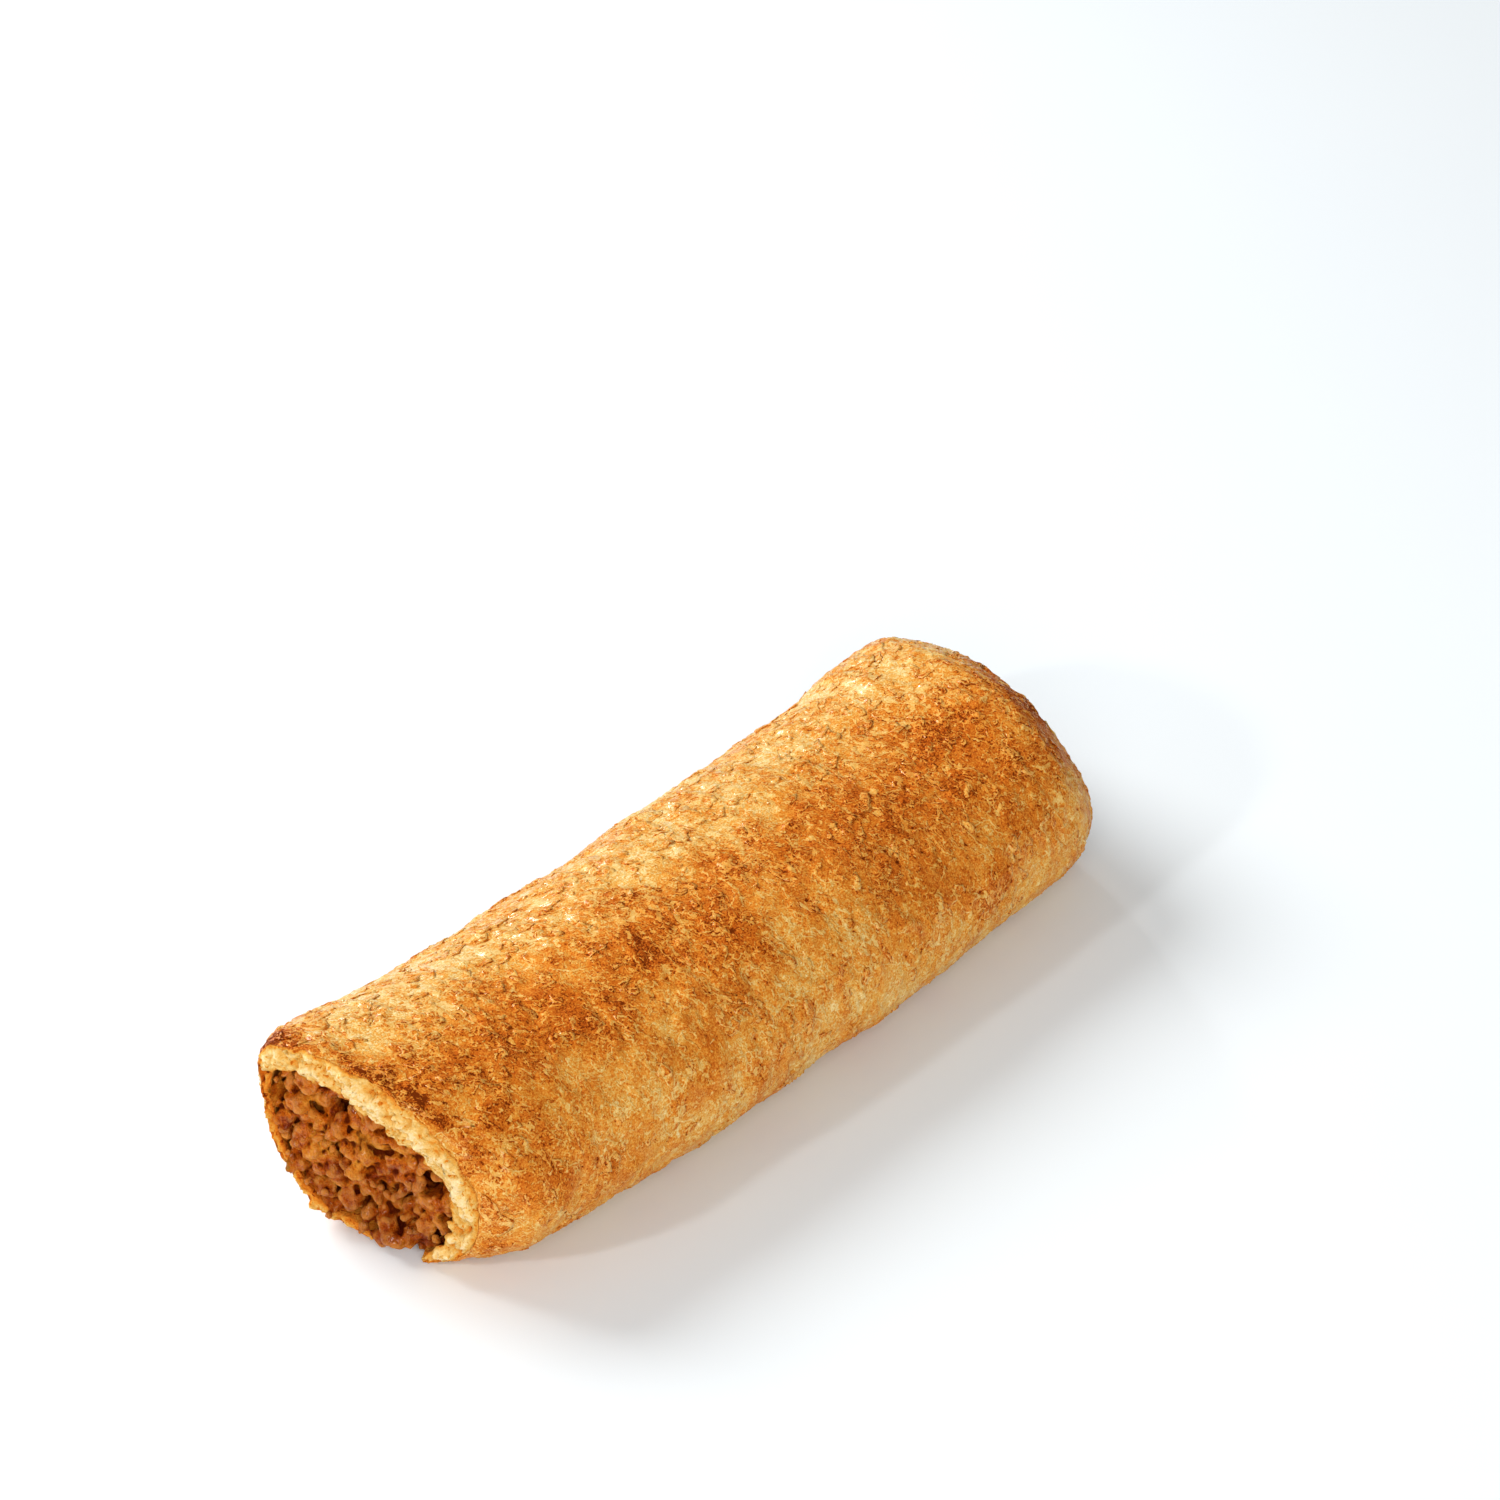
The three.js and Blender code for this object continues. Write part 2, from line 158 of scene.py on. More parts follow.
SKIN_GRAIN = [(0.07, np.array([1.3, 2.0, 2.0]), 3, 70, 0.5)]
HOLLOW_ROUNDS = 5  # of softening that a hollow is measured from
BLISTERS = (26, 0.9, 2.3, 5, 225)  # count, least and largest radius, first and last angle
BLISTER_HEIGHTS = (0.14, 0.24)  # share of the radius
PITS = (150, 0.3, 0.75, 0, 235)
PIT_DEPTH = 0.35
SKIN_SINK = 0.1  # so that the relief's peaks stay near the solid's skin
UNDERSIDE_ANGLES = (222, 238, 302, 318)  # where the underside begins, is itself, and ends
UNDERSIDE_FLATNESS = 0.75
RIM_TEARS = [(0.35, 3.5, 2, 120, 0.5), (0.25, 1.3, 2, 121, 0.5)]
RIM_TEAR_DEPTH = 0.2
RIM_TEAR_REACH = 1.6
WALL_RAGS = [(0.9, 3.4, 2, 100, 0.5), (0.9, 1.4, 2, 104, 0.5)]
RAGGED_WALLS = (1.5, 5.0)  # thicknesses between which the cut gets ragged
CRUMB_BULGE = 0.35
CRUMB_LUMPS = [(0.7, 3.0, 2, 110, 0.5), (0.85, 1.2, 3, 111, 0.75)]
CRUMB_TEAR = (0.35, 2.4, 0.1)  # depth, size, spread
CRUMB_LAYERS = (0.2, 0.9, 6.0)  # height, thickness, length
CRUMB_DROP = 0.3  # at the bore
DROP_REACH = 2.0
PUFF_REACH = 7.0
MOUTH_WALLS = [  # angle, thickness of the pastry where it is cut
    (0, 1.8),
    (28, 1.8),
    (40, 2.6),
    (54, 4.8),
    (75, 6.9),
    (105, 7.8),
    (140, 7.4),
    (170, 5.4),
    (200, 4.2),
    (215, 3.4),
    (235, 2.4),
    (250, 1.6),
    (262, 1.1),
    (272, 1.5),
    (290, 2.2),
    (310, 2.2),
    (360, 1.8),
]
PATCHES = (6.0, 4, 6, 0.8)  # of browning: size, octaves, seed, gain
PATCH_WANDER = 4.0  # degrees that they reach round the roll
PATCH_TEAR = 0.12
BAKE_WANDER = [(4.0, 26.0, 2, 2, 0.5)]
BAKE_WANDER_PLACE = (85, 60)  # angle, spread
BAKE_TONES = [(0.015, 30.0, 2, 3, 0.5), (0.015, 9.0, 3, 4, 0.5)]
BLOTCHES = [(1.0, 2.6, 3, 5, 0.5)]
BLOTCH_LEVELS = (-0.65, 0.3)
BAKED_AND_SHADED_PLACES = [  # end, strength, distance from it, spread along, angle, spread round
    # painted shade low on the front by the near end, where the roll meets the floor
    (0, 0.09, 16, 24, 205, 24),
    # the top by the far end, baked darker
    (1, 0.08, 12, 20, 112, 36),
]
SCORCHED_PLACES = [  # end, even and blotched strength, distance from it, spread along, angle, spread round
    (1, 0.0, 0.3, 0.2, 1.0, 90, 36),
    (0, 0.66, 0.34, 0.0, 5.0, 50, 14),
]
DARK_BAND = (0.42, 2.4, 1.5)  # behind the near cut: strength, distance, spread
DARK_BAND_WANDER = [(0.8, 5.0, 2, 7, 0.5)]
DARK_BAND_ANGLES = (76, 94, 142, 164)  # where it begins, is whole, and ends
BAKE = [  # angle, how far the skin is baked
    (0, 0.4),
    (30, 0.37),
    (55, 0.37),
    (70, 0.39),
    (80, 0.49),
    (90, 0.59),
    (100, 0.7),
    (115, 0.69),
    (130, 0.61),
    (150, 0.54),
    (170, 0.53),
    (185, 0.49),
    (215, 0.44),
    (245, 0.45),
    (270, 0.6),
    (300, 0.56),
    (330, 0.48),
    (360, 0.4),
]
FLAKINESS = [  # angle, how many flakes lie there
    (0, 1.0),
    (40, 1.6),
    (80, 1.3),
    (105, 0.7),
    (130, 0.5),
    (180, 0.5),
    (215, 0.3),
    (240, 0.0),
    (300, 0.0),
    (330, 0.3),
    (360, 1.0),
]
MOST_FLAKES = 1.6
FLAKY_PATCHES = [(0.25, 8.0, 2, 130, 0.5)]
FLAKES = [  # count, spokes, rings, smallest and largest radius
    (26, 30, 4, 1.9, 3.4),
    (1450, 13, 2, 0.4, 1.5),
]
FLAKE_RAGGEDNESS = 0.55
FLAKE_LENGTHENING = (0.1, 0.6)
FLAKE_RING_POWER = 0.7  # under 1 draws its rings towards its rim
FLAKE_SKEW = 0.6  # radians that the lifted side is off its long side, at most
FLAKE_WAVES = [(0.05, 1.1, 2, 143, 0.5)]
FLAKE_CURL = (0.02, 0.2)
FLAKE_SUNK = 0.2
FLAKE_THICKNESS = 0.08
FLAKE_RIM_THICKNESS = 0.02
FLAKE_RIM_WIDTH = 0.35  # of its rim of painted shade
FLAKE_LINE = 0.16  # how far outside its rim the pale line lies; it puts the rim itself in the painted shadow
FLAKE_ROOT = 0.1  # depth of its lower side
UNDER_FLAKE = 1.4  # distance from its edge that its lower side counts as
FLAKE_WALL = 5.0
FLAKE_BAKE = (-0.12, -0.02)  # least and most, over the skin's own
# painted shade at the flake's rim
FLAKE_RIM_SHADE = 0.15
# painted shade on the flake's side, strongest at its root
FLAKE_ROOT_SHADE = 0.3
FOOT_REACH = 1.15  # of the flake's radius
FOOT_SHADE = 0.07
LEAVES = [  # size, level, how far torn, tint, thickness, strength of edges
    (4.8, 0.5, 0.5, 0.04, 0.06, 0.7),
    (2.0, 0.53, 0.54, 0.03, 0.04, 0.7),
]
FLECKS = [  # size, least noise where one lies, how much less on the flaky side, strength
    (1.9, 0.66, 0.11, 0.9),
    (0.9, 0.65, 0.09, 0.8),
]

# Mince
FILLING_GAP = 0.4
NEAR_RECESS = 3.2
LEAST_RECESS = 1.7
FAR_RECESS = 3.2
DEEPEST_ANGLE = math.radians(150)
SPILL_PLACE = (264, 26)  # where the mince isn't sunk: angle, spread
MINCE_CRUMBS = [  # count, spacing, smallest and largest radius, lift over the bed, scatter
    (48, 3.4, 1.5, 2.4, -0.6, 1.0),
    (90, 2.3, 1.0, 1.6, 0.5, 1.2),
    (110, 1.4, 0.4, 0.8, 1.1, 1.4),
]
CRUMB_ROUGHNESS = 0.42
CRUMB_STRETCH = (0.7, 1.35)
BULGE_CRUMBS = (16, 1.0, 1.6)  # in the notch: count, least and largest radius
BULGE_WIDTH = (-1.7, 2.9)  # from the seam
BULGE_HEIGHT = (1.7, 5.5)
BULGE_DEPTH = (-0.6, 3.6)
PLUG_SINK = 2.2
PLUG_DEPTH = 9.5
PLUG_COLUMNS = 96
VOXELS = (0.31, 0.46)  # near and far end
MINCE_RIDGES = (0.3, 1.9, 0.1)  # height, size, how deep their feet lie
MINCE_GRAIN = [(0.14, 0.9, 2, 231, 0.5)]
CREVICES = [(8, 1.0), (40, 0.7)]  # rounds of smoothing that a crevice is measured from, weight
CORE_COLUMNS = 72
CORE_SHARES = np.linspace(0.05, 0.95, 12)
CORE_SINK = 0.3  # under the mince's outline
FLOOR_CLEARANCE = 0.3

# Finishes: colours as they are named on a screen, 0 to 255
BAKED_COLOURS = [  # how far baked, colour
    (0.0, (252, 231, 188)),
    (0.15, (238, 206, 136)),
    (0.3, (227, 180, 96)),
    (0.42, (223, 158, 66)),
    (0.54, (219, 138, 46)),
    (0.66, (205, 115, 31)),
    (0.78, (192, 99, 23)),
    (0.88, (176, 81, 17)),
    (1.0, (112, 44, 6)),
]
CRUMB_TINT = (255, 245, 228)
MINCE_COLOURS = [(0.2, (130, 40, 6)), (0.5, (208, 101, 12)), (0.85, (240, 160, 52))]
JUICE_COLOUR = (140, 50, 5)
# painted shade deep in the mince's crevices
CREVICE_SHADE_COLOUR = (84, 20, 2)
# painted light on the crests of the mince
CREST_LIGHT_COLOUR = (236, 160, 70)
FLOOR_COLOURS = ((239, 247, 255), (241, 249, 255))
CRUST_FACTS = (
    "bake", "sheet_0", "sheet_1", "sheet_2", "crack", "blister",
    "pit", "flaky", "hollow", "depth", "wall", "cut",
)
ROLLED_STRETCH = (1.15, 0.95, 0.95)  # the skin's noises are longer round the roll
CRUST_GRAIN = 0.9
CRUST_NOISES = {  # size, detail, roughness, distortion
    "cloud": (3.2, 3.0, 0.5, 0.2),
    "jag": (0.5, 2.0, 0.6, 0.0),
    "tear": (2.8, 1.0, 0.5, 0.0),
}
SPOTS = (1.5, 2.0, 0.5)
LAYERS = (1.2, 2.0, 0.55, 0.3)
LAYER_STRETCH = (1.6, 0.3, 0.3)  # into the wall, across and up
PORES = (0.8, 2.0, 0.6)
SKIN_MOTTLING = [("coarse", 0.34), ("fine", 1.02), ("cloud", 0.08), ("spots", 0.12)]
CRUMB_MOTTLING = [("layers", 0.3), ("spots", 0.3), ("coarse", 0.4), ("fine", 0.4)]
SHEET_FINISH = [("sheet_0", 0.075, 1.0), ("sheet_1", 0.07, 1.0), ("sheet_2", 0.04, 0.7)]  # tint, edges
HOLLOW_SHADE = 0.85  # painted shade: how much darker a hollow of 1 mm is painted, on the skin
# painted shade in the crumb's hollows
CRUMB_HOLLOW_SHADE = 0.75
SPECKLE_BAKE = 0.18
TORN_PALENESS = 0.56  # share of the browning that a torn edge lacks
TORN_EDGE_SHADOW = 0.32  # painted shadow beside a torn edge: share of browning that it adds
# painted shade in open cracks and pits
HOLE_SHADE = 0.5
CRUMB_BAKE = (0.48, 0.2)  # just under the skin, and deeper
THIN_WALL_BAKE = 0.24
NEXT_TO_MINCE_BAKE = 0.24
# painted shade in the crumb's small pores
PORE_SHADE = 0.34
TORN_LEVELS = (0.52, 0.6)  # of the noise that says where an edge is torn
FLAKY_TEARING = 0.12  # more of it on the flaky side
SHEET_RAGGEDNESS = [("jag", 0.6)]
SHEET_LINE = (0.1, 0.18)  # pale line: distance from the edge, reach
# painted shadow beside a sheet's edge: distance from the edge, reach
SHEET_SHADOW = (-0.18, 0.18)
SHADOW_STRENGTH = 0.8
BLISTER_LINE = (0.0, 0.2, 0.5)  # distance, reach, strength
CRACK_RAGGEDNESS = [("jag", 0.5)]
CRACK_LINE = (0.38, 0.24)
CRACK_OPENING = (0.2, 0.06)
PIT_SHADE = (0.6, 0.92, 0.0, 0.7)  # depth in a pit from where to where, and how strong there
UNDER_SKIN_RAGGEDNESS = [("spots", 1.8)]
UNDER_SKIN = 0.9  # mm that the baked rim of the crumb is thick
THIN_WALLS = (3.0, 1.6)
SCORCHED = (0.62, 0.9)  # baked so far that the gloss goes
SKIN_ROUGHNESS = (0.44, 0.66)
DRY_ROUGHNESS = 0.28  # how much rougher crumb and scorched skin are
EGG_WASH = (0.04, 0.22)
FLAKE_GLOSS = 0.5  # on torn edges of the flaky side
SHADE_OFFSET = (0.0002, 0.00012, -0.0001)  # metres from a fleck to its shade
CRUST_BUMPS = [("jag", 0.08), ("spots", 0.14)]  # height in mm
FINE_BUMP = 0.05
EDGE_BUMP = 0.05
CRUMB_BUMP = 0.32
MINCE_GRAIN_SIZE = 0.6
MEATINESS = (3.6, 3.0, 0.55)
MINCE_TONES = [("meatiness", 1.5), ("coarse", 0.7), ("fine", 0.6)]
JUICE_RISE = (0.018, 0.004, 0.0, 0.5)  # metres up from where to where, and how strong there
CREVICE_SHADE = (-0.02, 0.3, 0.0, 0.95)  # painted shade: depth of a crevice from where to where, and how strong there
# painted light on crests: how far a crest stands out from where to where, and how strong there
CREST_LIGHT = (-0.05, -0.5, 0.0, 0.45)
MINCE_ROUGHNESS = (0.45, 0.7)

# Studio
LIGHTS = [  # name, azimuth, elevation, distance and size in metres, watts, colour
    ("key", -165, 41, 0.9, 0.52, 7.1, (1.0, 0.975, 0.94)),
    ("fill", -45, 30, 1.2, 0.8, 7.9, (1.0, 0.965, 0.91)),
    ("left glints", -98, 32, 0.9, 0.07, 1.5, (1.0, 0.99, 0.97)),
    ("back glints", 152, 24, 1.0, 0.09, 1.0, (1.0, 0.99, 0.97)),
]
CAMERA_VIEW = (-49, 35)  # azimuth, elevation
CAMERA_PLACE = (0.00625, 0.0411, 0.6878)  # metres to the right, up and back
CAMERA_LENS = 110
SKY_COLOUR = (1.0, 0.98, 0.95, 1.0)
SKY_STRENGTH = 0.33


# ---------------------------------------------------------------------------------------------
# Smooth curves and repeatable noise
# ---------------------------------------------------------------------------------------------

def curve_through(rows, column, place):
    """Smooth curve through rows of (place, value, ...)."""
    xs = np.array([row[0] for row in rows], float)
    ys = np.array([row[column] for row in rows], float)
    slopes = np.empty(len(xs))
    slopes[1:-1] = (ys[2:] - ys[:-2]) / (xs[2:] - xs[:-2])
    slopes[0] = (ys[1] - ys[0]) / (xs[1] - xs[0])
    slopes[-1] = (ys[-1] - ys[-2]) / (xs[-1] - xs[-2])
    i = np.clip(np.searchsorted(xs, place, side="right") - 1, 0, len(xs) - 2)
    span = xs[i + 1] - xs[i]
    t = (place - xs[i]) / span
    start = ys[i] + (3 - 2 * t) * t * t * (ys[i + 1] - ys[i])
    return start + t * (1 - t) ** 2 * span * slopes[i] + t * t * (t - 1) * span * slopes[i + 1]


def bell(distance, spread):
    return np.exp(-((distance / spread) ** 2))


def smooth_step(low, high, value):
    t = np.clip((value - low) / (high - low), 0.0, 1.0)
    return t * t * (3 - 2 * t)


def plateau(angles, degrees):
    """1 between the middle two of four angles, and 0 outside all of them."""
    begin, whole, whole_until, end = angles
    return smooth_step(begin, whole, degrees) * (1 - smooth_step(whole_until, end, degrees))


def lattice_random(cells, seed):
    """Random number from 0 to 1 for each row of three whole numbers."""
    c = cells.astype(np.int64).astype(np.uint32)
    h = c[..., 0] * np.uint32(374761393)
    h = h ^ (c[..., 1] * np.uint32(668265263))
    h = h ^ (c[..., 2] * np.uint32(2147483629))
    h = h ^ np.uint32((seed * 40503 + 977) % 4294967296)
    h = (h ^ (h >> np.uint32(15))) * np.uint32(2246822519)
    h = (h ^ (h >> np.uint32(13))) * np.uint32(3266489917)
    h = h ^ (h >> np.uint32(16))
    return h.astype(np.float64) / 4294967296.0


def noise(points, seed):
    """Smooth noise from -1 to 1."""
    cell = np.floor(points).astype(np.int64)
    t = points - cell
    t = t * t * t * (t * (t * 6 - 15) + 10)
    total = np.zeros(points.shape[:-1])
    for corner in range(8):
        step = np.array([corner & 1, (corner >> 1) & 1, corner >> 2])
        weight = np.prod(np.where(step, t, 1 - t), axis=-1)
        total += weight * lattice_random(cell + step, seed)
    return 2 * total - 1


OCTAVE_TURN = np.array(Matrix.Rotation(0.9, 3, Vector((1, 2, 3)).normalized()))


def fractal(points, octaves, seed, gain=0.5):
    """Noise with finer and fainter copies of itself, from about -1 to 1."""
    total = np.zeros(points.shape[:-1])
    weight = 1.0
    weights = 0.0
    for octave in range(octaves):
        total += weight * noise(points, seed + 31 * octave)
        weights += weight
        weight *= gain
        points = (points @ OCTAVE_TURN.T) * 2.03 + 5.7
    return total / weights * 1.6


def layered(points, rows, variant=0):
    """Sum of noises; a row is strength, size of the grains in mm, octaves, seed and gain."""
    total = 0
    for strength, size, octaves, seed, gain in rows:
        total = total + strength * fractal(points / size, octaves, SEED + seed + variant, gain)
    return total


def shifted(points, size, amount, seed):
    """Points moved about by noise, so that what is read there gets irregular."""
    drift = [fractal(points / size, 2, seed + axis) for axis in range(3)]
    return points + amount * np.stack(drift, axis=-1)


# ---------------------------------------------------------------------------------------------
# Form of the roll
# ---------------------------------------------------------------------------------------------

def middle_y(share):
    return BEND_OFFSET + BEND_RISE * (2 * share - 1) ** 2


def seam_y(share):
    return SEAM_Y + SEAM_WANDER * np.sin(SEAM_TURN * share)


def half_height(share):
    return curve_through(SECTIONS, 2, share)


def angle_between(a, b):
    return np.abs(np.arctan2(np.sin(a - b), np.cos(a - b)))


def notch_fade(z):
    """The notch is whole near the floor, and gone higher up."""
    return np.clip(1.6 - z / 5, 0, 1)


def place_along(share, y, z):
    """X of a point: the ends lean, and the pastry has pulled back from the seam's near end."""
    across = y - middle_y(share)
    up = z - half_height(share)
    near = np.clip(1 - share / LEAN_REACH, 0, 1) * (NEAR_LEAN[0] * across + NEAR_LEAN[1] * up)
    far = np.clip(1 - (1 - share) / LEAN_REACH, 0, 1) * (FAR_LEAN[0] * across + FAR_LEAN[1] * up)
    fade = np.clip(1 - share / NOTCH_REACH, 0, 1) * notch_fade(z)
    notch = NOTCH_DEPTH * bell(y - seam_y(share), NOTCH_HALF_WIDTH) * fade
    return ROLL_LENGTH * (share - 0.5) + near + far + notch


def skin_points(share, angle):
    """Plain outer skin."""
    power = 2 / SECTION_POWER
    c = np.cos(angle)
    s = np.sin(angle)
    swell = 1.0
    for rise, centre, along, around in NEAR_SWELLINGS:
        off_centre = angle_between(angle, math.radians(centre))
        swell = swell + rise * bell(share, along) * bell(off_centre, math.radians(around))
    half_width = curve_through(SECTIONS, 1, share)
    y = middle_y(share) + half_width * np.sign(c) * np.abs(c) ** power * swell
    z = half_height(share) * (1 + np.sign(s) * np.abs(s) ** power * swell) - FLAT_DEPTH
    z = np.maximum(z, 0)
    lift, height, centre, around, along = SEAM_LIP
    off_lip = angle_between(angle, math.radians(centre))
    lift = lift * bell(share, along) * bell(off_lip, math.radians(around))
    z = z + np.where(s < 0, lift * np.clip(1 - z / height, 0, 1), 0)
    return np.stack([place_along(share, y, z), y, z], axis=-1)


def section_middle(share):
    z = half_height(share) - FLAT_DEPTH / 2
    return np.stack([ROLL_LENGTH * (share - 0.5), middle_y(share) + 0 * z, z], axis=-1)


def outward_at(share, points):
    """Unit vectors across the roll, away from the middle of the section."""
    out = points - section_middle(share)
    out[..., 0] = 0
    return out / np.linalg.norm(out, axis=-1, keepdims=True)


def depth_points(share, angle, depth):
    """Points this deep under the plain skin."""
    skin = skin_points(share, angle)
    point = skin - outward_at(share, skin) * depth[..., None]
    point[..., 0] = place_along(share, point[..., 1], point[..., 2])
    return point


def wall_at(angle):
    return curve_through(WALLS, 1, np.degrees(angle) % 360)


def column_angles():
    """Angles of the columns of points, even along the skin but fewer under the roll."""
    fine = np.radians(270) + np.linspace(0, 2 * math.pi, 4001)
    skin = skin_points(np.full(fine.shape, 0.5), fine)
    steps = np.linalg.norm(np.diff(skin, axis=0), axis=-1)
    steps *= np.where(skin[1:, 2] < 0.1, UNDERSIDE_SPARSENESS, 1)
    along = np.concatenate([[0], np.cumsum(steps)])
    wanted = np.linspace(0, along[-1], SKIN_COLUMNS, endpoint=False)
    return np.interp(wanted, along, fine)


def row_shares():
    """Shares of the length of the rings of points, closer together at the rims."""
    rim = np.array(RIM_STEPS) / ROLL_LENGTH
    middle = np.linspace(rim[-1], 1 - rim[-1], SKIN_ROWS)
    return np.concatenate([rim[:-1], middle, 1 - rim[-2::-1]])


def in_cad_box(points, clearance=0.0):
    """Points moved to the frame's origin and drawn into the solids' box, with a clearance over its floor."""
    lowest, highest = (np.array(corner) / MM for corner in CAD_BOUNDS)
    lowest[2] += clearance
    return np.clip(points + MIDDLE, lowest, highest)


def grid_quads(rows, columns, closed=True):
    """Faces between rings of points; where it is closed, the last ring joins the first."""
    row, column = np.meshgrid(np.arange(rows if closed else rows - 1), np.arange(columns), indexing="ij")
    start = row * columns
    after = (row + 1) % rows * columns
    beside = (column + 1) % columns
    return np.stack([start + column, start + beside, after + beside, after + column], -1).reshape(-1, 4)


def softened(sheet, rounds):
    """Sheet of values, closed around its columns, each drawn towards its neighbours."""
    for _ in range(rounds):
        padded = np.pad(sheet, ((1, 1), (0, 0)), mode="edge")
        sheet = (padded[:-2] + 2 * sheet + padded[2:]) / 4
        sheet = (np.roll(sheet, 1, axis=1) + 2 * sheet + np.roll(sheet, -1, axis=1)) / 4
    return sheet


def sample_sheet(sheet, row, column):
    """Value of a closed sheet of values between its rows and columns."""
    row = np.clip(row, 0, len(sheet) - 1.001)
    i = np.floor(row).astype(int)
    j = np.floor(column).astype(int)
    t = (row - i)[..., None]
    u = (column - j)[..., None]
    count = sheet.shape[1]
    near = sheet[i, j % count] * (1 - u) + sheet[i, (j + 1) % count] * u
    far = sheet[i + 1, j % count] * (1 - u) + sheet[i + 1, (j + 1) % count] * u
    return near * (1 - t) + far * t


def solid_relief(share, angle):
    """How far the solid's own skin stands over the plain form, read by rays at a coarse grid."""
    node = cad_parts["pastry"]
    corners = [v.co for v in node.data.vertices]
    tree = BVHTree.FromPolygons(corners, [p.vertices for p in node.data.polygons])
    coarse_shares = np.linspace(*RELIEF_SHARES, RELIEF_ROWS)
    coarse_angles = np.linspace(0, 2 * math.pi, RELIEF_COLUMNS, endpoint=False)
    s, a = np.meshgrid(coarse_shares, coarse_angles, indexing="ij")
    plain = skin_points(s, a)
    out = outward_at(s, plain)
    start = (plain + MIDDLE + RAY_START * out) * MM
    relief = np.zeros(s.shape)
    for i in np.ndindex(s.shape):
        hit = tree.ray_cast(Vector(start[i]), Vector(-out[i]), RAY_LENGTH * MM)
        relief[i] = RAY_START - hit[3] / MM if hit[0] else 0
    relief = softened(relief, 2)
    row = (share - coarse_shares[0]) / (coarse_shares[1] - coarse_shares[0])
    column = (angle % (2 * math.pi)) / (2 * math.pi) * RELIEF_COLUMNS
    return sample_sheet(relief[..., None], row, column)[..., 0]


# ---------------------------------------------------------------------------------------------
# Crust
# ---------------------------------------------------------------------------------------------

def grid_slopes(points):
    """Steps of a sheet of points along the rows and around the columns."""
    along = np.gradient(points, axis=0)
    around = (np.roll(points, -1, axis=1) - np.roll(points, 1, axis=1)) / 2
    return along, around


def grid_normals(points):
    along, around = grid_slopes(points)
    normal = np.cross(around, along)
    return normal / np.maximum(np.linalg.norm(normal, axis=-1, keepdims=True), 1e-9)


def edge_distance(field, level, points):
    """Distance in mm along the sheet from where a field has this level; below it is negative."""
    along, around = grid_slopes(points)
    down = np.gradient(field, axis=0) / np.linalg.norm(along, axis=-1)
    over = (np.roll(field, -1, axis=1) - np.roll(field, 1, axis=1)) / 2 / np.linalg.norm(around, axis=-1)
    steepness = np.hypot(down, over)
    least = 0.35 * steepness.mean()
    return np.clip((field - level) / np.maximum(steepness, least), -FAR_OFF, FAR_OFF)


def browning_and_shade(share, angle, points):
    """How far the skin is baked, from 0, pale, to 1, dark, with painted shade added low on the front by the
    near end.
    """
    degrees = np.degrees(angle) % 360
    size, octaves, seed, gain = PATCHES
    patches = fractal(points / size, octaves, SEED + seed, gain)
    torn_patches = 2 * smooth_step(-PATCH_TEAR, PATCH_TEAR, patches) - 1
    wander = layered(points, BAKE_WANDER) + PATCH_WANDER * (patches + torn_patches)
    place, spread = BAKE_WANDER_PLACE
    bake = curve_through(BAKE, 1, np.clip(degrees + wander * bell(degrees - place, spread), 0, 360))
    bake = bake + layered(points, BAKE_TONES)
    from_end = (share * ROLL_LENGTH, (1 - share) * ROLL_LENGTH)
    # browning, and painted shade low on the front by the near end
    for end, strength, distance, along, place, around in BAKED_AND_SHADED_PLACES:
        bake = bake + strength * bell(from_end[end] - distance, along) * bell(degrees - place, around)
    blotched = smooth_step(*BLOTCH_LEVELS, layered(points, BLOTCHES))
    strength, distance, along = DARK_BAND
    behind_band = from_end[0] - distance - layered(points, DARK_BAND_WANDER)
    bake = bake + strength * blotched * bell(behind_band, along) * plateau(DARK_BAND_ANGLES, degrees)
    for end, even, uneven, distance, along, place, around in SCORCHED_PLACES:
        scorched = bell(from_end[end] - distance, along) * bell(degrees - place, around)
        bake = bake + (even + uneven * blotched) * scorched
    return bake


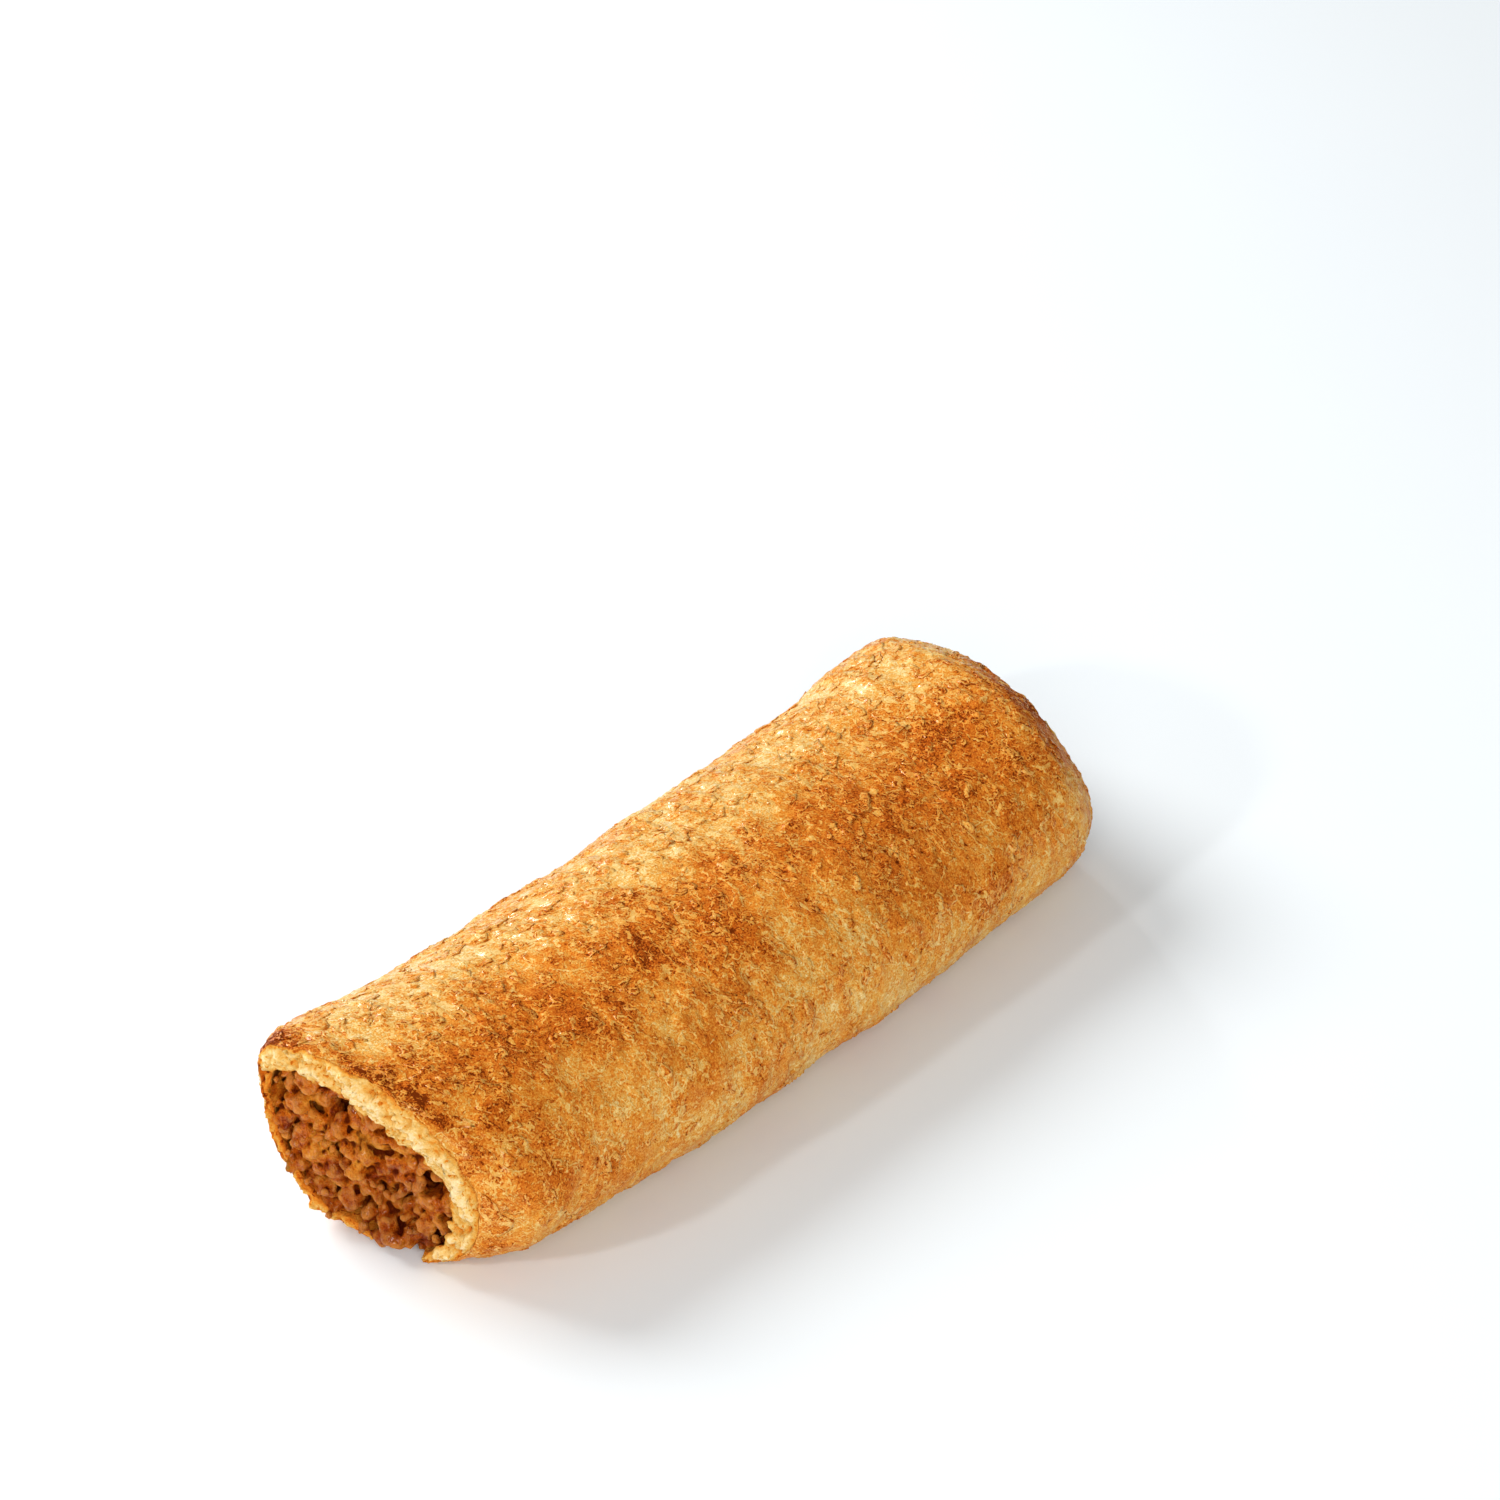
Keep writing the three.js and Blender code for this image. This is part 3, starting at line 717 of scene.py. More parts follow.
def crust_sheets(points):
    """Relief of the flaky skin in mm, and what the colours need to know of it."""
    ragged = points
    for size, amount, seed in SHEET_DRIFTS:
        ragged = shifted(ragged, size, amount, SEED + seed)
    relief = np.zeros(points.shape[:-1])
    facts = {}
    for i, (size, level, height, lip, trench) in enumerate(SHEETS):
        field = fractal(ragged / SHEET_STRETCH / size, 6 - i, SEED + 20 + 5 * i, SHEET_GAIN)
        distance = edge_distance(field, level, points)
        lifted = smooth_step(*SHEET_LIFT_LEVELS, layered(points, SHEET_LIFTS, i))
        relief += height * smooth_step(-SHEET_EDGE, SHEET_EDGE, distance)
        relief += lip * bell(distance - LIP_PLACE, LIP_SPREAD) * lifted
        relief -= trench * bell(distance + LIP_PLACE, TRENCH_SPREAD) * lifted
        facts["sheet_%d" % i] = distance

    size, amount, seed = CRACK_DRIFT
    drifted = shifted(points, size, amount, SEED + seed)
    size, octaves, seed = CRACKS
    parting = fractal(drifted / size, octaves, SEED + seed)
    patch = layered(points, CRACK_PATCHES)
    closing, least, most = CRACK_CLOSING
    crack = np.abs(edge_distance(parting, 0, points)) + closing * smooth_step(least, most, patch)
    crack = np.where(patch > CRACK_PATCH_LEVEL, crack, FAR_OFF)
    ridge, place, spread = CRACK_RIDGE
    relief += ridge * bell(crack - place, spread) - CRACK_DEPTH * bell(crack, CRACK_SPREAD)
    facts["crack"] = crack

    wrinkle = np.abs(edge_distance(layered(ragged, WRINKLES), 0, points))
    fading, least, most = WRINKLE_FADING
    wrinkle = wrinkle + fading * smooth_step(least, most, layered(points, WRINKLE_BREAKS))
    relief += WRINKLE_HEIGHT * bell(wrinkle, WRINKLE_SPREAD)
    relief += layered(points, SKIN_GRAIN)
    return relief, facts


def scattered(points, angle, random, row):
    """Centres and radii of small round forms at random places of the skin."""
    count, least, largest, first, last = row
    degrees = np.degrees(angle) % 360
    places = np.argwhere((degrees > first) & (degrees < last))
    for _ in range(count):
        yield points[tuple(places[random.integers(len(places))])], random.uniform(least, largest)


def blisters(points, angle, relief):
    """Round bubbles in the skin; returns how far each point is from one's rim."""
    random = np.random.default_rng(SEED + 80)
    rim_distance = np.full(relief.shape, FAR_OFF)
    for centre, radius in scattered(points, angle, random, BLISTERS):
        height = random.uniform(*BLISTER_HEIGHTS) * radius
        distance = np.linalg.norm(points - centre, axis=-1)
        relief += height * np.clip(1 - (distance / radius) ** 2, 0, 1) ** 0.7
        nearer = np.abs(distance - radius) < np.abs(rim_distance)
        rim_distance = np.where(nearer, distance - radius, rim_distance)
    return rim_distance


def pits(points, angle, relief):
    """Small holes in the skin; returns how deep each point lies in one, from 0 to 1."""
    random = np.random.default_rng(SEED + 90)
    depth = np.zeros(relief.shape)
    for centre, radius in scattered(points, angle, random, PITS):
        depth = np.maximum(depth, bell(np.linalg.norm(points - centre, axis=-1), radius))
    relief -= PIT_DEPTH * depth
    return depth


def rounded_rim(behind):
    """How far the skin's edge lies behind the cut and under the plain skin, so that it is round."""
    turn = math.pi / 4 * (1 + np.minimum(behind / RIM_ROUNDING, 1))
    round_off = behind < RIM_ROUNDING
    inset_behind = np.where(round_off, RIM_ROUNDING * (1 - np.cos(turn)), behind)
    inset_under = np.where(round_off, RIM_ROUNDING * (1 - np.sin(turn)), 0)
    return inset_behind, inset_under


def mouth_wall(end, angles):
    """Thickness of the pastry where it is cut: ragged, and puffed over the mince."""
    edge = depth_points(np.full(angles.shape, float(end)), angles, wall_at(angles))
    wall = curve_through(MOUTH_WALLS, 1, np.degrees(angles) % 360)
    return wall + smooth_step(*RAGGED_WALLS, wall) * layered(edge, WALL_RAGS, end)


def cut_face(end, angles, skin_rim):
    """Rings over one cut end of the pastry, from the skin's rim to the bore, their depths and hollows."""
    rings = []
    depths = []
    hollows = []
    wall = mouth_wall(end, angles)
    share = np.full(angles.shape, float(end))
    at_rim = skin_rim - skin_points(share, angles)
    puff = CRUMB_BULGE * np.minimum(wall / 5, 1)
    tear_depth, tear_size, tear_spread = CRUMB_TEAR
    layer_height, layer_thickness, layer_length = CRUMB_LAYERS
    for part in CUT_PARTS:
        depth = wall * part
        point = depth_points(share, angles, depth) + at_rim * (1 - part) ** 2
        rise = np.sin(math.pi * part**0.75) ** 0.6
        lumps = layered(point, CRUMB_LUMPS)
        torn = fractal(shifted(point, 2, 0.5, SEED + 114) / tear_size, 2, SEED + 115)
        tears = tear_depth * bell(torn, tear_spread)
        across, up = point[:, 1] / layer_length, point[:, 2] / layer_length
        layer_place = np.stack([depth / layer_thickness, across, up], -1)
        layers = layer_height * fractal(layer_place, 2, SEED + 113)
        outwards = (puff + lumps - tears) * rise + layers - CRUMB_DROP * part**4
        point[:, 0] += (2 * end - 1) * outwards
        rings.append(point)
        depths.append(depth)
        hollows.append((tears - 0.35 * lumps) * rise)
    return rings, depths, hollows


def flake_faces(spokes, rings):
    """Quads and triangles of one flake: its upper side, its lower side and the rim between them."""
    size = 1 + rings * spokes
    ring, spoke = np.meshgrid(np.arange(rings - 1), np.arange(spokes), indexing="ij")
    here = 1 + ring * spokes + spoke
    beside = 1 + ring * spokes + (spoke + 1) % spokes
    upper = np.stack([here, here + spokes, beside + spokes, beside], -1).reshape(-1, 4)
    rim = 1 + (rings - 1) * spokes + np.arange(spokes)
    next_rim = np.roll(rim, -1)
    side = np.stack([rim, rim + size, next_rim + size, next_rim], -1)
    quads = np.concatenate([upper, upper[:, ::-1] + size, side])
    first = 1 + np.arange(spokes)
    middle = np.stack([0 * first, first, np.roll(first, -1)], -1)
    return quads, np.concatenate([middle, middle[:, ::-1] + size])


def build_flakes(skin, bake, angles):
    """Torn leaves of pastry that come out of the crust along one side, and the shade round their feet."""
    random = np.random.default_rng(SEED + 140)
    normals = grid_normals(skin)
    degrees = np.degrees(angles) % 360
    middle_row = len(skin) // 2
    row_step = np.linalg.norm(skin[middle_row + 1] - skin[middle_row], axis=-1).mean()
    column_step = np.linalg.norm(np.roll(skin, -1, axis=1) - skin, axis=-1).mean(axis=0)
    chance = column_step * np.maximum(curve_through(FLAKINESS, 1, degrees), 0)
    points = []
    faces = []
    edges = []
    bakes_and_shades = []
    total = 0
    shade = np.zeros(bake.shape)
    for count, spokes, rings, smallest, largest in FLAKES:
        one = (count, 1)
        row = random.uniform(3, len(skin) - 4, one)
        column = random.choice(len(angles), one, p=chance / chance.sum())
        radius = random.uniform(smallest, largest, one)
        turn = np.tile(np.linspace(0, 2 * math.pi, spokes, endpoint=False), one)
        serial = np.arange(count)[:, None] * 2.7 + 0 * turn
        outline = np.stack([np.cos(turn), np.sin(turn), serial], -1) * 1.3
        ragged = 1 + FLAKE_RAGGEDNESS * fractal(outline, 3, SEED + 141, gain=0.8)
        long_way = random.uniform(0, math.pi, one)
        longer = random.uniform(*FLAKE_LENGTHENING, one) * np.cos(2 * (turn - long_way))
        reach = radius * ragged * (1 + longer)
        share = (np.arange(1, rings + 1) / rings) ** FLAKE_RING_POWER
        centre = np.zeros(one)
        along = np.concatenate([centre] + [k * reach * np.cos(turn) for k in share], axis=1)
        around = np.concatenate([centre] + [k * reach * np.sin(turn) for k in share], axis=1)
        rows = row + along / row_step
        columns = column + around / column_step[column]
        under = sample_sheet(skin, rows, columns)
        out = sample_sheet(normals, rows, columns)

        quarter_turn = random.choice([-0.5, 0.5], one) * math.pi
        lifted_way = long_way + quarter_turn + random.uniform(-FLAKE_SKEW, FLAKE_SKEW, one)
        side = (along * np.cos(lifted_way) + around * np.sin(lifted_way)) / radius
        curl = random.uniform(*FLAKE_CURL, one) * np.sqrt(radius)
        lift = (curl + FLAKE_SUNK) * smooth_step(-0.5, 1.0, side) - FLAKE_SUNK
        lift += layered(under, FLAKE_WAVES)
        inside = np.concatenate([[1.0], np.repeat(1 - share, spokes)]) * radius
        thickness = FLAKE_THICKNESS * smooth_step(-0.2, 0.3, inside) + FLAKE_RIM_THICKNESS
        body = [under + out * (lift + thickness)[..., None], under - out * FLAKE_ROOT]
        points.append(np.concatenate(body, axis=1).reshape(-1, 3))

        size = along.shape[1]
        quads, triangles = flake_faces(spokes, rings)
        starts = total + 2 * size * np.arange(count)[:, None, None]
        faces += (quads + starts).reshape(-1, 4).tolist() + (triangles + starts).reshape(-1, 3).tolist()
        edges.append(np.concatenate([inside, 0 * inside - UNDER_FLAKE], axis=1).ravel())
        own_bake_and_shade = sample_sheet(bake[..., None], rows, columns)[..., 0] + random.uniform(*FLAKE_BAKE, one)
        # painted shade along the flake's rim
        own_bake_and_shade += FLAKE_RIM_SHADE * smooth_step(FLAKE_RIM_WIDTH, 0.0, inside)
        # its lower side gets painted shade
        bakes_and_shades.append(np.concatenate([own_bake_and_shade, own_bake_and_shade + FLAKE_ROOT_SHADE], axis=1).ravel())
        total += 2 * size * count
        foot_rows = np.rint(row + FOOT_REACH * reach * np.cos(turn) / row_step).astype(int)
        foot_columns = np.rint(column + FOOT_REACH * reach * np.sin(turn) / column_step[column]).astype(int)
        shade[foot_rows.clip(0, len(skin) - 1), foot_columns % len(angles)] = FOOT_SHADE

    attributes = {name: np.full(total, FAR_OFF) for name in ("sheet_0", "sheet_2", "crack", "blister")}
    attributes["sheet_1"] = np.concatenate(edges) - FLAKE_LINE
    attributes["bake"] = np.concatenate(bakes_and_shades)
    attributes["flaky"] = np.ones(total)
    attributes["wall"] = np.full(total, FLAKE_WALL)
    for name in ("pit", "hollow", "depth", "cut"):
        attributes[name] = np.zeros(total)
    return (in_cad_box(np.concatenate(points)), faces, attributes), shade


def crust_skin(share, angle):
    """Points of the baked skin, and what the colours need to know of it."""
    degrees = np.degrees(angle) % 360
    plain = skin_points(share, angle)
    base = plain + outward_at(share, plain) * solid_relief(share, angle)[..., None]
    base[..., 2] = np.maximum(base[..., 2], 0)
    relief, facts = crust_sheets(base)
    facts["blister"] = blisters(base, angle, relief)
    facts["pit"] = pits(base, angle, relief)
    facts["hollow"] = softened(relief, HOLLOW_ROUNDS) - relief
    facts["bake"] = browning_and_shade(share, angle, base)
    flaky = curve_through(FLAKINESS, 1, degrees) / MOST_FLAKES + layered(base, FLAKY_PATCHES)
    facts["flaky"] = np.clip(flaky, 0, 1)

    underneath = plateau(UNDERSIDE_ANGLES, degrees)
    relief = (relief - relief.mean() - SKIN_SINK) * (1 - UNDERSIDE_FLATNESS * underneath)
    behind = np.minimum(share, 1 - share) * ROLL_LENGTH
    inset_behind, inset_under = rounded_rim(behind)
    relief = relief * smooth_step(-0.5, 1.2, behind)
    skin = base + grid_normals(base) * (relief - inset_under)[..., None]
    torn = np.maximum(layered(base, RIM_TEARS) + RIM_TEAR_DEPTH, 0)
    slide = inset_behind - behind + torn * bell(behind, RIM_TEAR_REACH)
    skin[..., 0] += np.where(share < 0.5, slide, -slide)
    return skin, facts


def crust_bore(angles):
    """Rings of the bore, from the near end to the far one."""
    wall = wall_at(angles)
    mouth = np.array(MOUTH_STEPS) / ROLL_LENGTH
    shares = np.concatenate([mouth, np.linspace(0, 1, BORE_ROWS + 2)[1:-1], 1 - mouth[::-1]])
    rings = []
    for place in shares:
        end = int(place > 0.5)
        from_end = abs(place - end) * ROLL_LENGTH
        puff = (mouth_wall(end, angles) - wall) * bell(from_end, PUFF_REACH)
        point = depth_points(np.full(angles.shape, place), angles, wall + puff)
        point[:, 0] -= (2 * end - 1) * CRUMB_DROP * bell(from_end, DROP_REACH)
        rings.append(point)
    return rings


def build_crust():
    """The crust: skin, far cut, bore and near cut as one closed sheet, and the flakes that lie on it."""
    angles = column_angles()
    share, angle = np.meshgrid(row_shares(), angles, indexing="ij")
    skin, facts = crust_skin(share, angle)
    near_rings, near_depths, near_hollows = cut_face(0, angles, skin[0])
    far_rings, far_depths, far_hollows = cut_face(1, angles, skin[-1])
    rows = list(skin) + far_rings + crust_bore(angles)[::-1] + near_rings[::-1]

    inner = (len(rows) - len(skin), len(angles))
    inner_values = {"pit": 0.0, "flaky": 0.0, "bake": BORE_BAKE, "hollow": 0.0}
    attributes = {}
    for name, value in facts.items():
        attributes[name] = np.concatenate([value, np.full(inner, inner_values.get(name, FAR_OFF))])
    attributes["cut"] = np.concatenate([np.zeros(share.shape), np.ones(inner)])
    attributes["wall"] = np.tile(wall_at(angles), (len(rows), 1))
    attributes["depth"] = attributes["wall"] * attributes["cut"]
    far_cut = slice(len(skin), len(skin) + len(CUT_PARTS))
    near_cut = slice(-len(CUT_PARTS), None)
    for end, cut, depths, hollows in (
        (0, near_cut, near_depths[::-1], near_hollows[::-1]),
        (1, far_cut, far_depths, far_hollows),
    ):
        attributes["depth"][cut] = depths
        attributes["hollow"][cut] = hollows
        attributes["wall"][cut] = mouth_wall(end, angles)
        attributes["bake"][cut] = facts["bake"][-1 if end else 0]
    flakes, shade = build_flakes(skin, facts["bake"], angles)
    attributes["bake"][:len(skin)] += shade
    points = in_cad_box(np.stack(rows)).reshape(-1, 3)
    return (points, grid_quads(len(rows), len(angles)), attributes), flakes


# ---------------------------------------------------------------------------------------------
# Mince
# ---------------------------------------------------------------------------------------------

def bore_point(share, angle, further=0.0):
    """Point of the mince's outline; it isn't pulled back where it fills the notch."""
    share = np.asarray(share, float)
    angle = np.asarray(angle, float)
    return depth_points(share, angle, wall_at(angle) + FILLING_GAP + further)


def bed_point(end, angle, ring, sunk=0.0):
    """Point of the bed that the crumbs of mince lie on, from its middle, 0, to its edge, 1."""
    angle = np.atleast_1d(angle).astype(float)
    recess = FAR_RECESS if end else NEAR_RECESS
    place, spread = (math.radians(degrees) for degrees in SPILL_PLACE)
    spilling = bell(angle_between(angle, place), spread)
    depth = LEAST_RECESS * (1 - spilling) + recess * (0.5 + 0.5 * np.cos(angle - DEEPEST_ANGLE)) + sunk
    wall = np.minimum(wall_at(angle) + FILLING_GAP, mouth_wall(end, angle))
    edge = depth_points(np.abs(end - depth / ROLL_LENGTH), angle, wall)
    middle = section_middle(np.full(angle.shape, float(end)))
    middle[:, 0] -= (2 * end - 1) * (0.5 * recess + LEAST_RECESS + sunk)
    return middle + (edge - middle) * np.reshape(ring, (-1, 1))


def mince_crumbs(end, random):
    """Centres and radii of the crumbs of mince on one end: coarse ones side by side, finer ones on them."""
    crumbs = []
    for count, spacing, low, high, lift, scatter in MINCE_CRUMBS:
        tries = count * 12
        angles = random.uniform(0, 2 * math.pi, tries)
        candidates = bed_point(end, angles, np.sqrt(random.uniform(0, 1, tries)))
        placed = np.zeros((0, 3))
        for centre in candidates:
            if len(placed) < count and (np.linalg.norm(placed - centre, axis=1) > spacing).all():
                placed = np.concatenate([placed, centre[None]])
        placed[:, 0] += (2 * end - 1) * (lift + random.uniform(-scatter, scatter, len(placed)))
        crumbs += [(centre, random.uniform(low, high)) for centre in placed]
    if end == 0:
        count, low, high = BULGE_CRUMBS
        for _ in range(count):
            y = seam_y(0) + random.uniform(*BULGE_WIDTH)
            z = random.uniform(*BULGE_HEIGHT)
            notch = NOTCH_DEPTH * bell(y - seam_y(0), NOTCH_HALF_WIDTH) * notch_fade(z)
            x = place_along(0.0, y, z) - notch
            crumbs.append((np.array([x + random.uniform(*BULGE_DEPTH), y, z]), random.uniform(low, high)))
    return crumbs


def ball():
    """Points and triangles of a round lump."""
    mesh = bmesh.new()
    bmesh.ops.create_icosphere(mesh, subdivisions=2, radius=1)
    points = np.array([v.co for v in mesh.verts])
    faces = np.array([[v.index for v in f.verts] for f in mesh.faces])
    mesh.free()
    return points, faces


def mince_plug(end):
    """Points and triangles of the plug of mince that fills one end behind the crumbs."""
    angles = np.linspace(0, 2 * math.pi, PLUG_COLUMNS, endpoint=False)
    inner = float(end) - (2 * end - 1) * PLUG_DEPTH / ROLL_LENGTH
    points = [
        bed_point(end, angles, np.ones(PLUG_COLUMNS), PLUG_SINK),
        bore_point(np.full(PLUG_COLUMNS, inner), angles, 1.5),
        bed_point(end, 0.0, 0.0, PLUG_SINK),
        section_middle(np.array([inner])),
    ]
    j = np.arange(PLUG_COLUMNS)
    k = (j + 1) % PLUG_COLUMNS
    bed_middle = np.full(PLUG_COLUMNS, 2 * PLUG_COLUMNS)
    faces = np.concatenate([
        np.stack([j, k, k + PLUG_COLUMNS], -1),
        np.stack([j, k + PLUG_COLUMNS, j + PLUG_COLUMNS], -1),
        np.stack([bed_middle, k, j], -1),
        np.stack([bed_middle + 1, j + PLUG_COLUMNS, k + PLUG_COLUMNS], -1),
    ])
    return points, faces[:, ::-1] if end else faces


def fused(name, points, faces, voxel):
    """Points and quads of overlapping solids fused into one, with cubes of this many mm."""
    mesh = bpy.data.meshes.new(name)
    mesh.from_pydata((points * MM).tolist(), [], faces.tolist())
    holder = bpy.data.objects.new(name, mesh)
    bpy.context.scene.collection.objects.link(holder)
    remesh = holder.modifiers.new("fuse", "REMESH")
    remesh.mode = "VOXEL"
    remesh.voxel_size = voxel * MM
    result = holder.evaluated_get(bpy.context.evaluated_depsgraph_get()).to_mesh()
    corners = np.zeros(len(result.vertices) * 3)
    result.vertices.foreach_get("co", corners)
    quads = np.zeros(len(result.loops), int)
    result.loops.foreach_get("vertex_index", quads)
    bpy.data.objects.remove(holder)
    return corners.reshape(-1, 3) / MM, quads.reshape(-1, 4)


def build_mince_end(end):
    """A plug of mince with crumbs over its open side, as one fused mesh; its back lies in the roll."""
    random = np.random.default_rng(SEED + 200 + end)
    ball_points, ball_faces = ball()
    points = []
    faces = []
    total = 0
    for serial, (centre, radius) in enumerate(mince_crumbs(end, random)):
        lumps = fractal(ball_points * 1.5 + serial * 3.7, 3, SEED + 210, gain=0.6)
        stretch = random.uniform(*CRUMB_STRETCH, 3)
        turn = np.array(Matrix.Rotation(random.uniform(0, 6.3), 3, random.uniform(-1, 1, 3)))
        crumb = ball_points * (1 + CRUMB_ROUGHNESS * lumps)[:, None] * stretch * radius
        points.append(crumb @ turn + centre)
        faces.append(ball_faces + total)
        total += len(ball_points)
    plug_points, plug_faces = mince_plug(end)
    points += plug_points
    faces.append(plug_faces + total)
    return fused("mince_end", np.concatenate(points), np.concatenate(faces), VOXELS[end])


def smoothed(points, edges, rounds):
    """Points moved halfway to the average of their neighbours, over and over."""
    first = np.concatenate([edges[:, 0], edges[:, 1]])
    second = np.concatenate([edges[:, 1], edges[:, 0]])
    count = np.bincount(first, minlength=len(points))
    for _ in range(rounds):
        total = [np.bincount(first, points[second, axis], len(points)) for axis in range(3)]
        points = 0.5 * points + 0.5 * np.stack(total, -1) / count[:, None]
    return points


def mesh_normals(points, quads):
    face = np.cross(points[quads[:, 2]] - points[quads[:, 0]], points[quads[:, 3]] - points[quads[:, 1]])
    corners = quads.ravel()
    spread = np.repeat(face, 4, axis=0)
    total = [np.bincount(corners, spread[:, axis], len(points)) for axis in range(3)]
    normals = np.stack(total, -1)
    return normals / np.maximum(np.linalg.norm(normals, axis=1, keepdims=True), 1e-9)


def keep_in_bore(points, end):
    """Draws points that stick out of the mouth's outline back to it, but not where they fill the notch."""
    middle = section_middle(np.array(float(end)))
    offset = points - middle
    outline_angles = np.linspace(0, 2 * math.pi, 721)[:-1]
    depth = np.minimum(wall_at(outline_angles), mouth_wall(end, outline_angles)) + 0.05
    outline = depth_points(np.full(720, float(end)), outline_angles, depth) - middle
    turn = np.arctan2(outline[:, 2], outline[:, 1]) % (2 * math.pi)
    order = np.argsort(turn)
    reach = np.hypot(outline[:, 1], outline[:, 2])
    now = np.arctan2(offset[:, 2], offset[:, 1]) % (2 * math.pi)
    limit = np.interp(now, turn[order], reach[order], period=2 * math.pi)
    distance = np.hypot(offset[:, 1], offset[:, 2])
    factor = np.minimum(1, limit / np.maximum(distance, 1e-6))
    if end == 0:
        in_notch = bell(points[:, 1] - seam_y(0), 3.2) * smooth_step(7, 5, points[:, 2])
        factor += (1 - factor) * smooth_step(0.25, 0.5, in_notch)
    kept = points.copy()
    kept[:, 1:] = middle[1:] + offset[:, 1:] * factor[:, None]
    return kept


def mince_surface(end):
    """Points and faces of one end of the mince, grainy and kept in the bore, and its crevices' depth."""
    points, faces = build_mince_end(end)
    edges = np.concatenate([faces[:, [k, (k + 1) % 4]] for k in range(4)])
    points = smoothed(points, edges, 1)
    ridge, size, foot = MINCE_RIDGES
    grain = ridge * np.abs(fractal(points / size, 2, SEED + 230)) - foot + layered(points, MINCE_GRAIN)
    points = keep_in_bore(points + mesh_normals(points, faces) * grain[:, None], end)
    crevice = np.zeros(len(points))
    for rounds, weight in CREVICES:
        soft = smoothed(points, edges, rounds)
        crevice += weight * np.einsum("ij,ij->i", soft - points, mesh_normals(soft, faces))
    return points, faces, crevice


def mince_core():
    """Points and faces of the plain core between the two ends, which nobody sees."""
    angles = np.linspace(0, 2 * math.pi, CORE_COLUMNS, endpoint=False)
    points = [bore_point(np.full(CORE_COLUMNS, share), angles, CORE_SINK) for share in CORE_SHARES]
    sides = grid_quads(len(CORE_SHARES), CORE_COLUMNS, closed=False)
    i = np.arange(CORE_COLUMNS // 2 - 1)
    cap = np.stack([i, CORE_COLUMNS - 1 - i, CORE_COLUMNS - 2 - i, i + 1], -1)
    last_ring = (len(CORE_SHARES) - 1) * CORE_COLUMNS
    faces = np.concatenate([sides, cap, cap[:, ::-1] + last_ring])
    return np.concatenate(points), faces, np.zeros(CORE_COLUMNS * len(CORE_SHARES))


def build_mince():
    all_points = []
    all_faces = []
    crevices = []
    total = 0
    for points, faces, crevice in (mince_surface(0), mince_surface(1), mince_core()):
        all_points.append(points)
        all_faces.append(faces + total)
        crevices.append(crevice)
        total += len(points)
    points = in_cad_box(np.concatenate(all_points), FLOOR_CLEARANCE)
    return points, np.concatenate(all_faces), {"crevice": np.concatenate(crevices)}


# ---------------------------------------------------------------------------------------------
# Materials
# ---------------------------------------------------------------------------------------------

def linear(red, green, blue):
    """Colour of a node socket for a colour as it is named on a screen, 0 to 255."""
    def channel(value):
        value /= 255
        return value / 12.92 if value <= 0.04045 else ((value + 0.055) / 1.055) ** 2.4
    return (channel(red), channel(green), channel(blue), 1.0)


